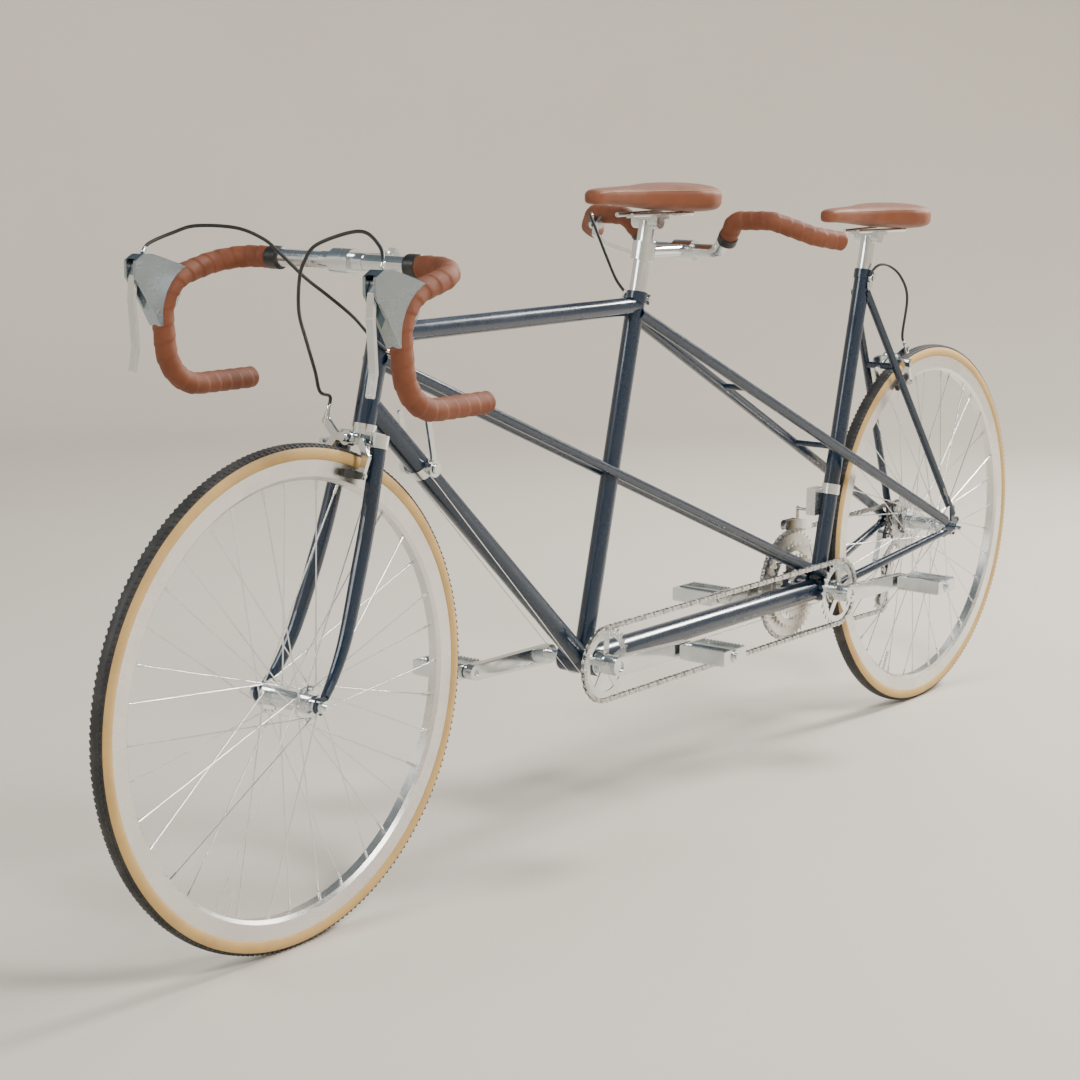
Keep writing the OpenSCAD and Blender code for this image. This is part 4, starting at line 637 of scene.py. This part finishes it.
def hose(name, line, radius, finish, sides=20, lap_height=0.0, lap_pitch=20.0):
    """A round length along a row of points in mm; lap_height raises the edge of a strip wound round it."""
    verts, faces, travelled = [], [], 0.0
    across = Vector((0, 0, 1)) if abs((line[1] - line[0]).normalized().z) < 0.9 else Vector((1, 0, 0))
    for i, point in enumerate(line):
        along = (line[min(i + 1, len(line) - 1)] - line[max(i - 1, 0)]).normalized()
        across = (across - along * across.dot(along)).normalized()
        other = along.cross(across)
        if i:
            travelled += (point - line[i - 1]).length
        for k in range(sides):
            turn = 2 * math.pi * k / sides
            r = radius
            if lap_height:
                step = (travelled / lap_pitch - k / sides) % 1
                r += lap_height * (min(step / 0.86, (1 - step) / 0.14) - 1)
            verts.append((point + (across * math.cos(turn) + other * math.sin(turn)) * r) / 1000)
    for i in range(len(line) - 1):
        faces += [(i * sides + k, i * sides + (k + 1) % sides, (i + 1) * sides + (k + 1) % sides, (i + 1) * sides + k)
                  for k in range(sides)]
    faces += [tuple(range(sides)), tuple(range((len(line) - 1) * sides, len(line) * sides))]
    return piece_from(name, verts, faces, finish)


def turn_end(line, start, length):
    """The stretch of an even line from start for length, both in mm."""
    step = (line[1] - line[0]).length
    return line[round(start / step):round((start + length) / step) + 1]


bar_centre, stoker_bar = Vector((750.954, 0, 908.874)), Vector((-44, 0, 891))
drop_line = bent([(0, 38, 0), (5, 206, 0), (134, 208, -32), (120, 209, -171), (-36, 210, -171)], [52, 58, 62])
drop_line = [Vector((2.8, 132, 0))] + [p for p in drop_line if p.y > 135]
stoker_line = bent([(0, 18, 0), (0, 62, 0), (16, 104, 50), (14, 168, 52), (-38, 214, 28), (-82, 236, 20)],
                   [22, 22, 24, 30])
stoker_line = [Vector((1, 78, 16))] + [p for p in stoker_line if p.y > 84]
for side, mirror in (("left", 1), ("right", -1)):
    flip = Vector((1, mirror, 1))
    drop = even([p * flip + bar_centre for p in drop_line], 1.7)
    wrap = hose(side + "_bar_wrap", drop, 15.3, wrap_hide, 28, 1.1, 21.0)
    out_way = (drop[-1] - drop[-2]).normalized()
    plug = hose(side + "_bar_plug", [drop[-1] - out_way * 3, drop[-1] + out_way * 1.2, drop[-1] + out_way * 2.6],
                13.2, ring_black, 32)
    collar_at = drop[0] - Vector((0.3, 10 * mirror, 0))
    collar = hose(side + "_bar_ring", even([collar_at - Vector((0, 9, 0)), collar_at + Vector((0, 9, 0))], 1.0), 15.9,
                  ring_black, 32, 0.35, 3.0)
    grip_line = even([p * flip + stoker_bar for p in stoker_line], 1.7)
    grip = hose(side + "_grip_wrap", grip_line, 15.0, wrap_hide, 28, 1.0, 19.0)
    band = hose(side + "_grip_ring", turn_end(grip_line, 0, 14), 15.7, ring_black, 32)
    tip_way = (grip_line[-1] - grip_line[-2]).normalized()
    tip = hose(side + "_grip_plug", [grip_line[-1] - tip_way * 3, grip_line[-1] + tip_way * 1.2,
                                     grip_line[-1] + tip_way * 2.6], 12.6, ring_black, 32)
    for piece in (wrap, plug, collar):
        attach(piece, "steering")
    for piece in (grip, band, tip):
        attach(piece, "captain_post")
    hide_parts("bar_tape")
    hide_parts("stoker_grips")

# ---------------------------------------------------------------------------------------------
# Brake cables and gear wires. Black plastic housing over a steel coil runs in free curves from each
# lever to its brake or frame stop; the gear wires run bare under the down tube and the long lower tube.
housing_black = new_finish("cable_housing", (0.012, 0.012, 0.013), 0.42)
dress(housing_black, (0.011, 0.011, 0.012), (0.06, 0.056, 0.05), 20.0, 0.35, (120.0, 0.32, 0.55), 0.1)
head_lean, stay_lean = math.radians(14.6), math.radians(30)
head_point, bridge_point = Vector((707.972, 0, 716.839)), Vector((-688.341, 0, 655))


def at_fork(x, y, z):
    return head_point + Vector((x * math.cos(head_lean) - z * math.sin(head_lean), y,
                                x * math.sin(head_lean) + z * math.cos(head_lean)))


def at_bridge(x, y, z):
    return bridge_point + Vector((-x * math.cos(stay_lean) + z * math.sin(stay_lean), -y,
                                  x * math.sin(stay_lean) + z * math.cos(stay_lean)))


head_way = Vector((-1, 0, -0.35)).normalized()
head_stop = at_fork(0, 0, 70) + Vector((-13, 19, 0))
cluster_stop, stay_stop = Vector((92.41, -19.8, 818)), Vector((-603.28, 19.2, 806))
housings = {
    "front_brake_housing": ("front_brake_cable", [
        (915, 208, 918), (912, 208, 928), (903, 195, 943), (894, 165, 958), (890, 130, 956), (897, 85, 940),
        (893, 62, 920), (882, 42, 896), (852, 12, 850), (815, -10, 808), (778, -30, 765), (758, -40, 735),
        at_fork(29.6, -42, 2), at_fork(29.6, -42, -17)]),
    "rear_brake_housing": ("bar_to_frame_cable", [
        (915, -208, 918), (902, -208, 930), (872, -195, 943), (849, -175, 952), (820, -130, 950), (800, -100, 936),
        (790, -80, 918), (775, -50, 887), (758, -22, 862), (740, 4, 836), (724, 18, 812), head_stop - head_way * 16,
        head_stop - head_way * 6.8]),
    "stoker_brake_housing": ("frame_cables", [
        (-2, -150, 938), (12, -146, 944), (34, -120, 926), (56, -85, 890), (80, -45, 850),
        cluster_stop + Vector((0, 0, 14)), cluster_stop + Vector((0, 0, 6.8))]),
    "caliper_housing": ("frame_cables", [
        stay_stop + Vector((0, 0, 6.8)), stay_stop + Vector((0, 0, 14)), (-609, 21, 832), (-628, 24, 841), (-656, 28, 838),
        (-686, 35, 818), (-706, 39, 780), at_bridge(29.6, -42, 52), at_bridge(29.6, -42, 33)]),
}
for name, (node, route) in housings.items():
    line = even(through(route), 3.0)
    length = sum((b - a).length for a, b in zip(line, line[1:])) / 1000
    housing = hose(name, line, 2.4, housing_black, 14)
    ends = [hose(f"{name}_cap_{i + 1}", stretch, 2.95, chrome, 16) for i, stretch in
            enumerate((line[:4], line[-4:]))]
    for piece in (housing, *ends):
        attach(piece, nodes[node]["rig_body"])
    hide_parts(node)

wires = {
    "left_gear_wire": [(604, 19.8, 611), (590, 18.6, 600), (233, 12, 256), (216, 10, 250.6), (-482, 8, 250.6),
                       (-508, -6, 262), (-505, -30, 352)],
    "right_gear_wire": [(604, -19.8, 611), (590, -18.6, 600), (233, -12, 256), (216, -10, 250.6), (-482, -10, 250.6),
                        (-506, -22, 268), (-800, -64, 320), (-846, -76, 300)],
}
for name, route in wires.items():
    wire = hose(name, even([Vector(p) for p in route], 9.0), 0.75, spoke_steel, 8)
    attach(wire, "frame")

# ---------------------------------------------------------------------------------------------
# Pedals. A barrel turns on the crank's axle between two stamped cage plates, whose edges carry rows of
# small teeth that grip the sole.
pedals = ("captain_left_pedal", "captain_right_pedal", "stoker_left_pedal", "stoker_right_pedal")
for name in pedals:
    nodes[name].data.materials.clear()
    nodes[name].data.materials.append(alloy)
teeth, given, out = flow_tree("cage_teeth", {"Tooth Pitch": ("Float", 0.0062), "Tooth Size":
                                             ("Vector", (0.0012, 0.0032, 0.0022))})
path = add_node(teeth, "GeometryNodeMeshToCurve", {"Mesh": given.outputs["Geometry"]})
spaced = add_node(teeth, "GeometryNodeResampleCurve", {"Curve": path.outputs[0], "Length":
                  given.outputs["Tooth Pitch"]}, mode="LENGTH")
tooth = add_node(teeth, "GeometryNodeMeshCube", {"Size": given.outputs["Tooth Size"]})
placed = add_node(teeth, "GeometryNodeInstanceOnPoints", {"Points": spaced.outputs[0], "Instance": tooth.outputs[0]})
close_tree(teeth, placed.outputs[0], alloy, out)
for name in pedals:
    low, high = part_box(name)
    low, high = low * 1000, high * 1000
    for row, (x, z) in enumerate(((low.x + 1, high.z + 0.6), (high.x - 1, high.z + 0.6), (low.x + 1, low.z - 0.6),
                                  (high.x - 1, low.z - 0.6))):
        edge = grown(f"{name}_teeth_{row + 1}", [(x, low.y + 8, z), (x, high.y - 8, z)], teeth, closed=False)
        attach(edge, nodes[name]["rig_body"])

# ---------------------------------------------------------------------------------------------
# A helper that turns the corners of a box into rows of plain numbers.


def rows(box):
    return [[float(v) for v in corner] for corner in box]
